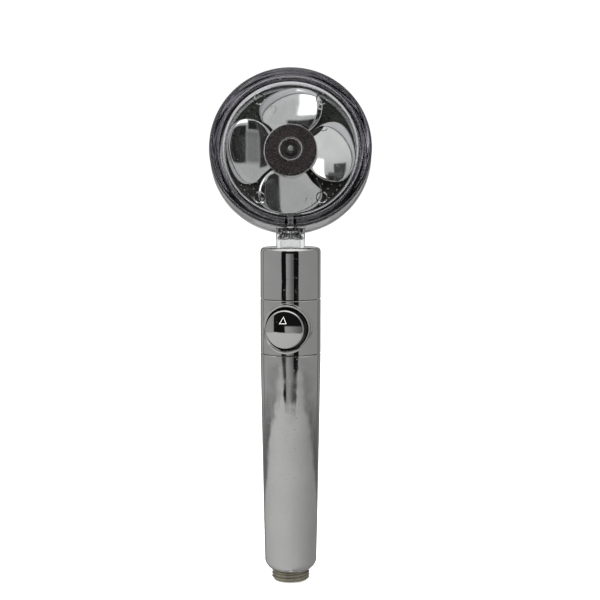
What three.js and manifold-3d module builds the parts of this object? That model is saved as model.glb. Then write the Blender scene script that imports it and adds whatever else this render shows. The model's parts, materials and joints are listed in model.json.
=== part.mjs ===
// Handheld shower head with a water-driven fan behind a clear window and a push-button stop valve.
// Millimetres, +Z up along the handle. The origin is the centre of the hose inlet's end face.
// The window side of the head faces -Y and its spray side +Y.

import * as THREE from 'three';
import { mergeGeometries, mergeVertices } from 'three/addons/utils/BufferGeometryUtils.js';
import Module from 'manifold-3d';

const wasm = await Module();
wasm.setup();

// ---------------------------------------------------------------- clearances and smoothness
const FIT = 0.3; // gap between neighbouring pieces
const CUT_PAST = 1; // how far a cutter runs past the face that it opens
const WELD = 1e-4; // points nearer than this are one point
const HEAD_SIDES = 32;
const HANDLE_SIDES = 24;
const BODY_SIDES = 36; // switch sleeve and the trim ring that follows its round
const INNER_SIDES = 14;
const PAD_SIDES = 8;
const RING_SECTION_SIDES = 5;
const CORNER_STEPS = 3;
const RIM_STEPS = 2;
const FOOT_STEPS = 4;

// ---------------------------------------------------------------- hose inlet, G 1/2 thread
const THREAD_RADIUS = 20.955 / 2;
const THREAD_PITCH = 1.814;
const THREAD_DEPTH = 1.162;
const THREAD_RIDGES = 3;
const THREAD_ROOT_SHARE = 0.2; // of the pitch, as are the next two
const THREAD_FLANK_SHARE = 0.3;
const THREAD_CREST_SHARE = 0.2;
const INLET_BORE_RADIUS = 6.5;
const CONNECTOR_FLANGE = 0.65;
const CONNECTOR_TOP_Z = 25;
const SCREEN_SEAT_WALL = 3.1;
const SCREEN_THICKNESS = 1.2;
const SCREEN_MESH = 2.2;
const SCREEN_PITCH = 3.2;
const RESTRICTOR_THICKNESS = 4;
const RESTRICTOR_ORIFICE_RADIUS = 2.4;

// ---------------------------------------------------------------- grip
const GRIP_START_Z = 6.3;
const GRIP_LENGTH = 121.5;
const GRIP_FLOOR = 6.4;
const SHOULDER_WALL = 3;
const SHOULDER_HEIGHT = 5;
const GRIP_LOWER_RADIUS = 15.1;
const GRIP_LOWER_AT = 34;
const GRIP_MIDDLE_RADIUS = 15.85;
const GRIP_MIDDLE_AT = 74;
const HANDLE_RADIUS = 16.65;
const GRIP_WALL = 2.6;
const SOCKET_WALL = 2.5;
const SOCKET_DEPTH = 18;
const CHAMBER_START = 5; // from the connector's top to the wide part of the filter chamber
const CONNECTOR_CLEAR = 2;
const GRIP_STEPS = 7;

// ---------------------------------------------------------------- switch section and cap
const SLEEVE_MARGIN = 1.75; // sleeve left above and below the button's hole
const SLEEVE_WALL = 2;
const CAP_HEIGHT = 28.3;
const CAP_WALL = 2;
const CAP_PLATE = 2.8;
const CAP_CORNER = 2.5;
const BUTTON_TURN = -8.5; // degrees from the head's facing direction, about +Z
const BUTTON_STROKE = 3;
const BUTTON_FACE_RADIUS = 10.4;
const BUTTON_SKIRT_RADIUS = 11.3;
const BUTTON_PROUD = 4.5; // face rim, beyond the sleeve's surface
const BUTTON_DOME = 1.4;
const BUTTON_DRAFT = 1; // the hollow behind the face narrows by this
const BUTTON_SHELL = 1.6;
const BUTTON_RIM = 0.8;
const BEZEL_LIP = 0.9;
const BEZEL_WALL = 1.3;
const BEZEL_PROUD = 0.9;
const BEZEL_BACK = 9;
const POCKET_FLOOR = 7;
const GLAND_RADIUS = 8;
const GLAND_THICKNESS = 4;
const STEM_RADIUS = 3;
const STEM_SOCKET_WALL = 1.3;
const STEM_INSERTION = 4;
const SPOOL_RADIUS = 4.7;
const SPOOL_WAIST_RADIUS = 2.4;
const LAND_LENGTH = 3.7;
const WAIST_LENGTH = 3.2;
const SLOT_WIDTH = 2.6;
const SLOT_SPAN = 8;
const SLOT_MARGIN = 4;
const SLOT_OVERLAP = 1;
const SPRING_RADIUS = 6.6;
const SPRING_WIRE = 0.8;
const SPRING_TURNS = 5;
const SPRING_STEPS_PER_TURN = 10;
const VALVE_BORE_RADIUS = 5;
const VALVE_SPIGOT = 16.7;
const VALVE_TOP = 13; // how far the valve body reaches up into the cap
const NECK_SOCKET_DEPTH = 9;

// ---------------------------------------------------------------- seals
const SEAL_SECTION = 0.5; // radius of the small rings' section
const SEAL_GROOVE_WIDTH = 1.6;
const BIG_SEAL_SECTION = 0.7;
const BIG_SEAL_GROOVE_WIDTH = 2;

// ---------------------------------------------------------------- neck
const NECK_RADIUS = 8;
const NECK_BORE_RADIUS = 5.3;
const NECK_EXPOSED = 8.1;
const NECK_BLEND = 3.6; // how far the neck runs up into the head's wall
const LOWER_SEAL_AT = 2.2; // above the neck's end
const UPPER_SEAL_AT = 6;
const CHANNEL_RUNOUT = 2; // how far the channel's cutter runs into the cavity
const CHANNEL_RADIUS = 3.3;
const CLIP_THICKNESS = 1;
const CLIP_REACH = 1.6;
const CLIP_GROOVE_DEPTH = 1;
const CLIP_GAP = 5;
const NECK_WASHER_THICKNESS = 1.9;

// ---------------------------------------------------------------- head, heights along its own axis
const HEAD_TILT = 11; // degrees, spray side turned down
const HEAD_RADIUS = 44.6;
const RIM_HEIGHT = 12;
const RIM_WIDTH = 5.2;
const RIM_FILLET = 1.8;
const RIM_CHAMFER = 0.5;
const WINDOW_RECESS = 2.5;
const WINDOW_THICKNESS = 3;
const SHELL_WALL = 7.2;
const CAVITY_DRAFT = 0.8;
const SHELL_EDGE = -7.2;
const NECK_BACK_GAP = 0.2; // from the neck's back to the shell's edge
const SPIGOT_STEP = 2.6;
const SPIGOT_LENGTH = 4.3;
const SPRAY_RING_PROUD = 0.6;
const SPRAY_RING_CHAMFER = 0.8;
const SPRAY_RING_SLOPE = 1.4;
const SPRAY_RING_LIP = 0.9;
const PLATE_THICKNESS = 1;
const PLATE_EDGE_GAP = 0.4;
const PLATE_LIP_COVER = 4.5;
const BACKING_GAP = 1.2;
const BACKING_THICKNESS = 1.8;
const BACKING_RIM = 1.6;
const BACKING_HEIGHT = 3.5;
const HOLE_RING_COUNT = 3;
const HOLE_RING_PITCH = 10.4;
const HOLE_RING_INSET = 3.4;
const HOLE_SPACING = 12.8;
const HOLE_SIDES = 4;
const PLATE_HOLE_RADIUS = 0.6;
const BACKING_HOLE_RADIUS = 0.9;
const PAD_RADIUS = 3.3;
const PAD_HEIGHT = 0.5;
const PAD_INSET = 5.1;
const PAD_ANGLES = [58, 122, 238, 302];

// ---------------------------------------------------------------- fan
const PIN_RADIUS = 1.5;
const PIN_EMBED = 4.2;
const PIN_FOOT = 0.9;
const BOSS_RADIUS = 6;
const HUB_TOP = 1;
const HUB_RADIUS = 14.8;
const HUB_WALL = 0.8;
const HUB_DEPTH = 7.8;
const HUB_CAP_THICKNESS = 1.5;
const HUB_PLATE = 1.5;
const HUB_SKIRT = 1.6;
const BUSHING_WALL = 1.2;
const HUB_TUBE_WALL = 1.5;
const WASHER_RADIUS = 3.2;
const REAR_WASHER_THICKNESS = 0.4;
const HUB_RUNNING_GAP = 0.4;
const HUB_CAP_SINK = 0.4;
const BUSHING_PROUD = 0.5;
const BLADE_COUNT = 4;
const BLADE_TIP_GAP = 2.4;
const BLADE_ROUND = 10.5; // from the widest place to the tip
const BLADE_HALF_WIDTH = 17.7;
const BLADE_ROOT_AT = 8;
const BLADE_ROOT_CUT = 0.5; // the blade stops this far short of its outline's root
const BLADE_TIP_CUT = 0.15;
const BLADE_SWEEP = 2.4;
const BLADE_THICKNESS = 1.1;
const BLADE_RISE = 3.6; // of the leading edge above the blade's middle
const BLADE_MIDDLE = -1.9;
const BLADE_CROWN = 1.3; // both edges fall away from the middle by this
const BLADE_BOW = 0.9; // root and tip fall away by this
const BLADE_BOW_AT = 22;
const BLADE_BOW_SPAN = 12;
const BLADE_GRID = 6;
const SCREW_HEAD_RADIUS = 3;
const SCREW_HEAD_HEIGHT = 0.9;
const SCREW_SHANK_RADIUS = 1.2;
const SCREW_SHANK_LENGTH = 2.7;
const SCREW_BOSS_MARGIN = 1;

// ---------------------------------------------------------------- places worked out from the sizes
const CONNECTOR_RADIUS = THREAD_RADIUS + CONNECTOR_FLANGE;
const SHOULDER_RADIUS = CONNECTOR_RADIUS + FIT + SHOULDER_WALL;
const BEZEL_BARREL_RADIUS = BUTTON_SKIRT_RADIUS + FIT + BEZEL_WALL;
const BEZEL_RADIUS = BEZEL_BARREL_RADIUS + BEZEL_LIP;
const SLEEVE_HEIGHT = 2 * (BEZEL_BARREL_RADIUS + FIT + SLEEVE_MARGIN);
const GRIP_TOP_Z = GRIP_START_Z + GRIP_LENGTH;
const SLEEVE_BOTTOM_Z = GRIP_TOP_Z + FIT;
const SLEEVE_TOP_Z = SLEEVE_BOTTOM_Z + SLEEVE_HEIGHT;
const BUTTON_Z = (SLEEVE_BOTTOM_Z + SLEEVE_TOP_Z) / 2;
const CAP_BOTTOM_Z = SLEEVE_TOP_Z + FIT;
const CAP_TOP_Z = CAP_BOTTOM_Z + CAP_HEIGHT;
const VALVE_TOP_Z = SLEEVE_TOP_Z + VALVE_TOP;
const NECK_BOTTOM_Z = VALVE_TOP_Z - NECK_SOCKET_DEPTH + FIT;
const NECK_WASHER_TOP_Z = CAP_TOP_Z - CAP_PLATE - FIT;
const CLIP_TOP_Z = NECK_WASHER_TOP_Z - NECK_WASHER_THICKNESS - FIT;
const HEAD_Z = CAP_TOP_Z + NECK_EXPOSED + HEAD_RADIUS;
const TILT = THREE.MathUtils.degToRad(HEAD_TILT);
// Height on the head's wall where the neck's axis arrives.
const NECK_SEAT = SHELL_EDGE + NECK_RADIUS + NECK_BACK_GAP;
const HEAD_Y = (NECK_SEAT + HEAD_RADIUS * Math.sin(TILT)) / Math.cos(TILT);
const MOUTH_RADIUS = THREAD_RADIUS + FIT;
const CONNECTOR_SEAT_Z = GRIP_START_Z + GRIP_FLOOR;
const SCREEN_SEAT_Z = CONNECTOR_SEAT_Z + FIT;
const SCREEN_RADIUS = CONNECTOR_RADIUS - SCREEN_SEAT_WALL - FIT;
const SOCKET_RADIUS = HANDLE_RADIUS - SOCKET_WALL;
const SPIGOT_RADIUS = SOCKET_RADIUS - FIT;
const VALVE_RADIUS = HANDLE_RADIUS - SLEEVE_WALL - FIT;
const SPOOL_BORE_RADIUS = SPOOL_RADIUS + FIT;
const GLAND_BACK = POCKET_FLOOR - GLAND_THICKNESS;
const SPOOL_FRONT = GLAND_BACK - FIT;
const WAIST_FRONT = SPOOL_FRONT - LAND_LENGTH;
const WAIST_BACK = WAIST_FRONT - WAIST_LENGTH;
const SPOOL_BACK = WAIST_BACK - LAND_LENGTH;
const SPOOL_BORE_END = SPOOL_BACK - BUTTON_STROKE - 2 * FIT;
const BUTTON_BACK = POCKET_FLOOR + BUTTON_STROKE + 2 * FIT;
const BUTTON_REACH = HANDLE_RADIUS + BUTTON_PROUD;
const BUTTON_CEILING = BUTTON_REACH - BUTTON_SHELL;
const CLIP_RADIUS = NECK_RADIUS + CLIP_REACH;
const NECK_WASHER_RADIUS = HANDLE_RADIUS - CAP_WALL - 2 * FIT;
const CLIP_GROOVE_RADIUS = NECK_RADIUS - CLIP_GROOVE_DEPTH;
const CAVITY_RADIUS = HEAD_RADIUS - SHELL_WALL;
const PAD_CIRCLE = CAVITY_RADIUS - PAD_INSET;
const SPRAY_RING_RADIUS = HEAD_RADIUS + SPRAY_RING_PROUD;
const BACKING_RADIUS = CAVITY_RADIUS - BACKING_GAP;
const BLADE_TIP_RADIUS = CAVITY_RADIUS - BLADE_TIP_GAP;
const BLADE_WIDEST_AT = BLADE_TIP_RADIUS - BLADE_ROUND;
const WINDOW_TOP = RIM_HEIGHT - WINDOW_RECESS;
const WINDOW_BOTTOM = WINDOW_TOP - WINDOW_THICKNESS;
const SPIGOT_OUTER = HEAD_RADIUS - SPIGOT_STEP;
const SPIGOT_INNER = CAVITY_RADIUS + CAVITY_DRAFT;
const SPIGOT_END = SHELL_EDGE - SPIGOT_LENGTH;
const FACE_SEAL_CIRCLE = (SPIGOT_OUTER + SPIGOT_INNER) / 2;
const PLATE_TOP = SPIGOT_END - FIT;
const PLATE_BOTTOM = PLATE_TOP - PLATE_THICKNESS;
const RING_TOP = SHELL_EDGE - 2 * FIT;
const RING_BOTTOM = PLATE_BOTTOM - FIT - SPRAY_RING_LIP;
const RING_INNER = SPIGOT_OUTER + FIT;
const BACKING_BOTTOM = PLATE_TOP + FIT;
const BACKING_TOP = BACKING_BOTTOM + BACKING_HEIGHT;
const BACKING_BOSS_RADIUS = SCREW_HEAD_RADIUS + SCREW_BOSS_MARGIN;
const PIN_BOTTOM = BACKING_TOP - PIN_FOOT;
const PIN_HOLE_RADIUS = PIN_RADIUS + FIT;
const BOSS_BOTTOM = HUB_TOP + HUB_RUNNING_GAP;
const PIN_TOP = BOSS_BOTTOM + PIN_EMBED;
const HUB_BOTTOM = HUB_TOP - HUB_DEPTH;
const HUB_FLOOR = HUB_TOP - HUB_CAP_THICKNESS - HUB_CAP_SINK;
const BUSHING_RADIUS = PIN_HOLE_RADIUS + BUSHING_WALL;
const BUSHING_TOP = HUB_FLOOR + BUSHING_PROUD;
const REAR_WASHER_BOTTOM = BACKING_TOP + FIT;
const REAR_WASHER_TOP = REAR_WASHER_BOTTOM + REAR_WASHER_THICKNESS;
const BUSHING_BOTTOM = REAR_WASHER_TOP + FIT;
const SCREW_HOLE_RADIUS = SCREW_SHANK_RADIUS + FIT;

// ---------------------------------------------------------------- solids from geometry
function solidOf(geometry) {
  const bare = geometry.clone();
  bare.deleteAttribute('normal');
  bare.deleteAttribute('uv');
  const merged = mergeVertices(bare, WELD);
  const corners = merged.index.array;
  const kept = [];
  for (let i = 0; i < corners.length; i += 3) {
    const [a, b, c] = [corners[i], corners[i + 1], corners[i + 2]];
    if (a !== b && b !== c && c !== a) {
      kept.push(a, b, c);
    }
  }
  const vertProperties = new Float32Array(merged.attributes.position.array);
  const triVerts = new Uint32Array(kept);
  return new wasm.Manifold(new wasm.Mesh({ numProp: 3, vertProperties, triVerts }));
}

function geometryOf(solid) {
  const mesh = solid.getMesh();
  const geometry = new THREE.BufferGeometry();
  geometry.setAttribute('position', new THREE.BufferAttribute(mesh.vertProperties, 3));
  geometry.setIndex(new THREE.BufferAttribute(mesh.triVerts, 1));
  geometry.computeVertexNormals();
  return geometry;
}

// A turned shape about Z from [radius, height] points that start and end on the axis, or close.
function turned(points, sides) {
  const outline = points.map(([r, z]) => new THREE.Vector2(r, z));
  return new THREE.LatheGeometry(outline, sides).rotateX(Math.PI / 2);
}

function turnedRing(points, sides) {
  return turned([...points, points[0]], sides);
}

function tube(inner, outer, bottom, top, sides) {
  return turnedRing([[inner, bottom], [outer, bottom], [outer, top], [inner, top]], sides);
}

function rod(radius, bottom, top, sides) {
  return turned([[0, bottom], [radius, bottom], [radius, top], [0, top]], sides);
}

function sealRing(circle, section, height, sides) {
  return new THREE.TorusGeometry(circle, section, RING_SECTION_SIDES, sides).translate(0, 0, height);
}

// Points of a groove cut into an outline that runs upward.
function groove(outerRadius, depth, middle, width) {
  const floor = outerRadius - depth;
  return [
    [outerRadius, middle - width / 2],
    [floor, middle - width / 2],
    [floor, middle + width / 2],
    [outerRadius, middle + width / 2],
  ];
}

// Points of a quarter-round corner about a centre, from one angle to another in degrees.
function corner(centreRadius, centreHeight, radius, from, to, steps) {
  const points = [];
  for (let i = 0; i <= steps; i += 1) {
    const angle = THREE.MathUtils.degToRad(from + ((to - from) * i) / steps);
    points.push([centreRadius + radius * Math.cos(angle), centreHeight + radius * Math.sin(angle)]);
  }
  return points;
}

const grooveDepth = (section) => 2 * section + FIT;

// A seal in a groove cut into a round of the given radius.
function bigSeal(radius, height) {
  return sealRing(radius - BIG_SEAL_SECTION, BIG_SEAL_SECTION, height, HANDLE_SIDES);
}

function smallSeal(radius, height) {
  return sealRing(radius - SEAL_SECTION, SEAL_SECTION, height, INNER_SIDES);
}

// ---------------------------------------------------------------- frames
const object = new THREE.Group();
const head = new THREE.Group();
head.position.set(0, HEAD_Y, HEAD_Z);
head.rotation.x = Math.PI / 2 - TILT;
const switchTurn = new THREE.Group();
switchTurn.position.z = BUTTON_Z;
switchTurn.rotation.z = THREE.MathUtils.degToRad(BUTTON_TURN);
const buttonAxis = new THREE.Group(); // its +Z points out of the handle, along the button's travel
buttonAxis.rotation.x = Math.PI / 2;
switchTurn.add(buttonAxis);
object.add(head, switchTurn);
object.updateMatrixWorld(true);

function toWorld(geometry, group) {
  return geometry.clone().applyMatrix4(group.matrixWorld);
}

function material(color, roughness, metalness) {
  return new THREE.MeshStandardMaterial({ color, roughness, metalness });
}

const FINISH = {
  chrome: () => material(0xb9bbba, 0.08, 1),
  nickel: () => material(0xb4ad9c, 0.32, 1),
  steel: () => material(0xa9a9a6, 0.3, 1),
  clear: () => Object.assign(material(0xe4e8e8, 0.05, 0), { transparent: true, opacity: 0.35 }),
  blackPlastic: () => material(0x23241f, 0.45, 0),
  hubBrown: () => material(0x2c2120, 0.35, 0),
  whitePlastic: () => material(0xe3e2dc, 0.5, 0),
  rubber: () => material(0x1b1b1c, 0.8, 0),
};

function place(group, name, geometry, finish) {
  const mesh = new THREE.Mesh(geometryOf(solidOf(geometry)), finish());
  mesh.name = name;
  group.add(mesh);
  return mesh;
}

// ---------------------------------------------------------------- hose inlet
function threadOutline() {
  const root = THREAD_RADIUS - THREAD_DEPTH;
  const crestStart = (THREAD_ROOT_SHARE + THREAD_FLANK_SHARE) * THREAD_PITCH;
  const crestEnd = crestStart + THREAD_CREST_SHARE * THREAD_PITCH;
  const points = [];
  for (let i = 0; i < THREAD_RIDGES; i += 1) {
    const start = THREAD_PITCH * i;
    points.push([root, start], [root, start + THREAD_ROOT_SHARE * THREAD_PITCH]);
    points.push([THREAD_RADIUS, start + crestStart], [THREAD_RADIUS, start + crestEnd]);
  }
  const end = THREAD_RIDGES * THREAD_PITCH;
  points.push([root, end], [THREAD_RADIUS, end + THREAD_FLANK_SHARE * THREAD_PITCH]);
  return points;
}

const CONNECTOR_SEAL_Z = (SCREEN_SEAT_Z + CONNECTOR_TOP_Z) / 2;

function inletConnector() {
  const seatRadius = SCREEN_RADIUS + FIT;
  return turnedRing([
    [INLET_BORE_RADIUS, 0],
    ...threadOutline(),
    [THREAD_RADIUS, SCREEN_SEAT_Z],
    [CONNECTOR_RADIUS, SCREEN_SEAT_Z],
    ...groove(CONNECTOR_RADIUS, grooveDepth(BIG_SEAL_SECTION), CONNECTOR_SEAL_Z, BIG_SEAL_GROOVE_WIDTH),
    [CONNECTOR_RADIUS, CONNECTOR_TOP_Z],
    [seatRadius, CONNECTOR_TOP_Z],
    [seatRadius, SCREEN_SEAT_Z],
    [INLET_BORE_RADIUS, SCREEN_SEAT_Z],
  ], HANDLE_SIDES);
}

function inletScreen() {
  const bottom = SCREEN_SEAT_Z + FIT;
  const openings = [];
  const reach = SCREEN_RADIUS - SCREEN_MESH;
  for (let x = -SCREEN_PITCH; x <= SCREEN_PITCH; x += SCREEN_PITCH) {
    for (let y = -SCREEN_PITCH; y <= SCREEN_PITCH; y += SCREEN_PITCH) {
      if (Math.hypot(x, y) < reach) {
        const opening = new THREE.BoxGeometry(SCREEN_MESH, SCREEN_MESH, 3 * SCREEN_THICKNESS);
        openings.push(opening.translate(x, y, bottom));
      }
    }
  }
  const disc = solidOf(rod(SCREEN_RADIUS, bottom, bottom + SCREEN_THICKNESS, HANDLE_SIDES));
  return geometryOf(disc.subtract(solidOf(mergeGeometries(openings))));
}

function flowRestrictor() {
  const bottom = SCREEN_SEAT_Z + FIT + SCREEN_THICKNESS + FIT;
  return tube(RESTRICTOR_ORIFICE_RADIUS, SCREEN_RADIUS, bottom, bottom + RESTRICTOR_THICKNESS, INNER_SIDES);
}

// ---------------------------------------------------------------- grip
function gripTube() {
  const mouth = new THREE.Vector2(MOUTH_RADIUS + FIT, GRIP_START_Z);
  const bulge = new THREE.Vector2(SHOULDER_RADIUS - FIT, GRIP_START_Z + SHOULDER_HEIGHT / 2);
  const shoulder = new THREE.Vector2(SHOULDER_RADIUS, GRIP_START_Z + SHOULDER_HEIGHT);
  const foot = new THREE.QuadraticBezierCurve(mouth, bulge, shoulder).getPoints(FOOT_STEPS);
  const barrel = new THREE.SplineCurve([
    shoulder,
    new THREE.Vector2(GRIP_LOWER_RADIUS, GRIP_START_Z + GRIP_LOWER_AT),
    new THREE.Vector2(GRIP_MIDDLE_RADIUS, GRIP_START_Z + GRIP_MIDDLE_AT),
    new THREE.Vector2(HANDLE_RADIUS, GRIP_TOP_Z),
  ]).getPoints(GRIP_STEPS);
  const boreRadius = CONNECTOR_RADIUS + FIT;
  const chamber = barrel
    .filter((p) => p.y > CONNECTOR_TOP_Z + CHAMBER_START && p.y < GRIP_TOP_Z - SOCKET_DEPTH)
    .map((p) => [p.x - GRIP_WALL, p.y])
    .reverse();
  const socketFloor = GRIP_TOP_Z - SOCKET_DEPTH;
  return turnedRing([
    [MOUTH_RADIUS, GRIP_START_Z],
    ...foot.map((p) => [p.x, p.y]),
    ...barrel.slice(1).map((p) => [p.x, p.y]),
    [SOCKET_RADIUS, GRIP_TOP_Z],
    [SOCKET_RADIUS, socketFloor],
    [chamber[0][0], socketFloor],
    ...chamber,
    [boreRadius, CONNECTOR_TOP_Z + CONNECTOR_CLEAR],
    [boreRadius, CONNECTOR_SEAT_Z],
    [MOUTH_RADIUS, CONNECTOR_SEAT_Z],
  ], HANDLE_SIDES);
}

// ---------------------------------------------------------------- switch section
const VALVE_BOTTOM_Z = GRIP_TOP_Z - VALVE_SPIGOT;
const GRIP_SEAL_Z = GRIP_TOP_Z - VALVE_SPIGOT / 2;

function buttonHole(radius, from) {
  return solidOf(toWorld(rod(radius, from, 2 * HANDLE_RADIUS, HANDLE_SIDES), buttonAxis));
}

function flowSlot() {
  const height = 2 * (SPOOL_BORE_RADIUS + SLOT_MARGIN);
  const slot = new THREE.BoxGeometry(SLOT_SPAN, height, SLOT_WIDTH);
  slot.translate(0, 0, (WAIST_FRONT + WAIST_BACK) / 2);
  return solidOf(toWorld(slot, buttonAxis));
}

function valveBody() {
  const shoulder = SLEEVE_BOTTOM_Z + FIT;
  const body = solidOf(turned([
    [0, VALVE_BOTTOM_Z],
    [SPIGOT_RADIUS, VALVE_BOTTOM_Z],
    ...groove(SPIGOT_RADIUS, grooveDepth(BIG_SEAL_SECTION), GRIP_SEAL_Z, BIG_SEAL_GROOVE_WIDTH),
    [SPIGOT_RADIUS, shoulder],
    [VALVE_RADIUS, shoulder],
    [VALVE_RADIUS, VALVE_TOP_Z],
    [0, VALVE_TOP_Z],
  ], HANDLE_SIDES));
  const bezelFloor = BEZEL_BACK - FIT;
  const gallery = SPOOL_BORE_RADIUS + SLOT_MARGIN - SLOT_OVERLAP;
  const lowerBore = rod(VALVE_BORE_RADIUS, VALVE_BOTTOM_Z - CUT_PAST, BUTTON_Z - gallery, INNER_SIDES);
  const upperBore = rod(VALVE_BORE_RADIUS, BUTTON_Z + gallery, VALVE_TOP_Z, INNER_SIDES);
  const socket = rod(NECK_RADIUS + FIT, NECK_BOTTOM_Z - FIT, VALVE_TOP_Z + CUT_PAST, HANDLE_SIDES);
  const spoolBore = toWorld(rod(SPOOL_BORE_RADIUS, SPOOL_BORE_END, POCKET_FLOOR, INNER_SIDES), buttonAxis);
  const cut = body
    .subtract(buttonHole(BEZEL_BARREL_RADIUS + FIT, bezelFloor))
    .subtract(buttonHole(BUTTON_SKIRT_RADIUS + FIT, POCKET_FLOOR))
    .subtract(buttonHole(GLAND_RADIUS + FIT, GLAND_BACK - FIT))
    .subtract(solidOf(spoolBore))
    .subtract(solidOf(lowerBore))
    .subtract(solidOf(upperBore))
    .subtract(solidOf(socket))
    .subtract(flowSlot());
  return geometryOf(cut);
}

function switchSleeve() {
  const inner = HANDLE_RADIUS - SLEEVE_WALL;
  const wall = solidOf(tube(inner, HANDLE_RADIUS, SLEEVE_BOTTOM_Z, SLEEVE_TOP_Z, BODY_SIDES));
  return geometryOf(wall.subtract(buttonHole(BEZEL_BARREL_RADIUS + FIT, 0)));
}

// A trim ring whose crest follows the round of the handle.
function bezelRing() {
  const inner = BUTTON_SKIRT_RADIUS + FIT;
  const reach = 2 * HANDLE_RADIUS;
  const span = [BUTTON_Z - 2 * BEZEL_RADIUS, BUTTON_Z + 2 * BEZEL_RADIUS];
  const crest = solidOf(rod(HANDLE_RADIUS + BEZEL_PROUD, ...span, BODY_SIDES));
  const surface = solidOf(rod(HANDLE_RADIUS + FIT, ...span, BODY_SIDES));
  const flange = solidOf(toWorld(tube(inner, BEZEL_RADIUS, 0, reach, HANDLE_SIDES), buttonAxis));
  const barrelTube = tube(inner, BEZEL_BARREL_RADIUS, BEZEL_BACK, reach, HANDLE_SIDES);
  const barrel = solidOf(toWorld(barrelTube, buttonAxis));
  return geometryOf(flange.subtract(surface).add(barrel).intersect(crest));
}

function handleCap() {
  const inner = HANDLE_RADIUS - CAP_WALL;
  const ceiling = CAP_TOP_Z - CAP_PLATE;
  return turnedRing([
    [HANDLE_RADIUS, CAP_BOTTOM_Z],
    ...corner(HANDLE_RADIUS - CAP_CORNER, CAP_TOP_Z - CAP_CORNER, CAP_CORNER, 0, 90, CORNER_STEPS),
    [NECK_RADIUS + FIT, CAP_TOP_Z],
    [NECK_RADIUS + FIT, ceiling],
    [inner, ceiling],
    [inner, CAP_BOTTOM_Z],
  ], HANDLE_SIDES);
}

function glandNut() {
  return tube(STEM_RADIUS + FIT, GLAND_RADIUS, GLAND_BACK, POCKET_FLOOR, INNER_SIDES);
}

function button() {
  const stemSocket = STEM_RADIUS + FIT;
  const boss = stemSocket + STEM_SOCKET_WALL;
  const socketCeiling = BUTTON_BACK + STEM_INSERTION + FIT;
  const skirtInner = BUTTON_SKIRT_RADIUS - BEZEL_WALL;
  return turned([
    [0, socketCeiling],
    [stemSocket, socketCeiling],
    [stemSocket, BUTTON_BACK],
    [boss, BUTTON_BACK],
    [boss, BUTTON_CEILING],
    [skirtInner - BUTTON_DRAFT, BUTTON_CEILING],
    [skirtInner, BUTTON_BACK],
    [BUTTON_SKIRT_RADIUS, BUTTON_BACK],
    [BUTTON_SKIRT_RADIUS, HANDLE_RADIUS],
    [BUTTON_FACE_RADIUS, BUTTON_REACH - BUTTON_RIM],
    [BUTTON_FACE_RADIUS - BUTTON_RIM, BUTTON_REACH],
    ...[0.75, 0.5, 0.25, 0].map((share) => [
      BUTTON_FACE_RADIUS * share,
      BUTTON_REACH + BUTTON_DOME * (1 - share ** 2),
    ]),
  ], HANDLE_SIDES);
}

const SPOOL_SEALS = {
  spool_o_ring_front: SPOOL_FRONT - LAND_LENGTH / 2,
  spool_o_ring_rear: WAIST_BACK - LAND_LENGTH / 2,
};

function valveSpool() {
  const depth = grooveDepth(SEAL_SECTION);
  const stemTop = BUTTON_BACK + STEM_INSERTION;
  return turned([
    [0, SPOOL_BACK],
    [SPOOL_RADIUS, SPOOL_BACK],
    ...groove(SPOOL_RADIUS, depth, SPOOL_SEALS.spool_o_ring_rear, SEAL_GROOVE_WIDTH),
    [SPOOL_RADIUS, WAIST_BACK],
    [SPOOL_WAIST_RADIUS, WAIST_BACK],
    [SPOOL_WAIST_RADIUS, WAIST_FRONT],
    [SPOOL_RADIUS, WAIST_FRONT],
    ...groove(SPOOL_RADIUS, depth, SPOOL_SEALS.spool_o_ring_front, SEAL_GROOVE_WIDTH),
    [SPOOL_RADIUS, SPOOL_FRONT],
    [STEM_RADIUS, SPOOL_FRONT],
    [STEM_RADIUS, stemTop],
    [0, stemTop],
  ], INNER_SIDES);
}

class Coil extends THREE.Curve {
  constructor(radius, bottom, top, turns) {
    super();
    Object.assign(this, { radius, bottom, top, turns });
  }

  getPoint(t, target = new THREE.Vector3()) {
    const angle = 2 * Math.PI * this.turns * t;
    const height = THREE.MathUtils.lerp(this.bottom, this.top, t);
    return target.set(this.radius * Math.cos(angle), this.radius * Math.sin(angle), height);
  }
}

function returnSpring() {
  const wire = SPRING_WIRE / 2;
  const section = new THREE.Shape();
  for (let i = 0; i < RING_SECTION_SIDES; i += 1) {
    const angle = (2 * Math.PI * i) / RING_SECTION_SIDES;
    const step = i === 0 ? 'moveTo' : 'lineTo';
    section[step](wire * Math.cos(angle), wire * Math.sin(angle));
  }
  const path = new Coil(SPRING_RADIUS, POCKET_FLOOR + FIT + wire, BUTTON_CEILING - FIT - wire, SPRING_TURNS);
  const steps = SPRING_TURNS * SPRING_STEPS_PER_TURN;
  return new THREE.ExtrudeGeometry(section, { steps, extrudePath: path });
}

// ---------------------------------------------------------------- neck seals and retainer
const NECK_SEALS = {
  neck_o_ring_lower: NECK_BOTTOM_Z + LOWER_SEAL_AT,
  neck_o_ring_upper: NECK_BOTTOM_Z + UPPER_SEAL_AT,
};

function neckClip() {
  const inner = CLIP_GROOVE_RADIUS + FIT;
  const ring = solidOf(tube(inner, CLIP_RADIUS, CLIP_TOP_Z - CLIP_THICKNESS, CLIP_TOP_Z, INNER_SIDES));
  const gap = new THREE.BoxGeometry(2 * CLIP_RADIUS, CLIP_GAP, 2 * CLIP_THICKNESS);
  gap.translate(CLIP_RADIUS, 0, CLIP_TOP_Z - CLIP_THICKNESS / 2);
  return geometryOf(ring.subtract(solidOf(gap)));
}

function neckWasher() {
  const bottom = NECK_WASHER_TOP_Z - NECK_WASHER_THICKNESS;
  return tube(NECK_RADIUS + FIT, NECK_WASHER_RADIUS, bottom, NECK_WASHER_TOP_Z, INNER_SIDES);
}

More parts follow.
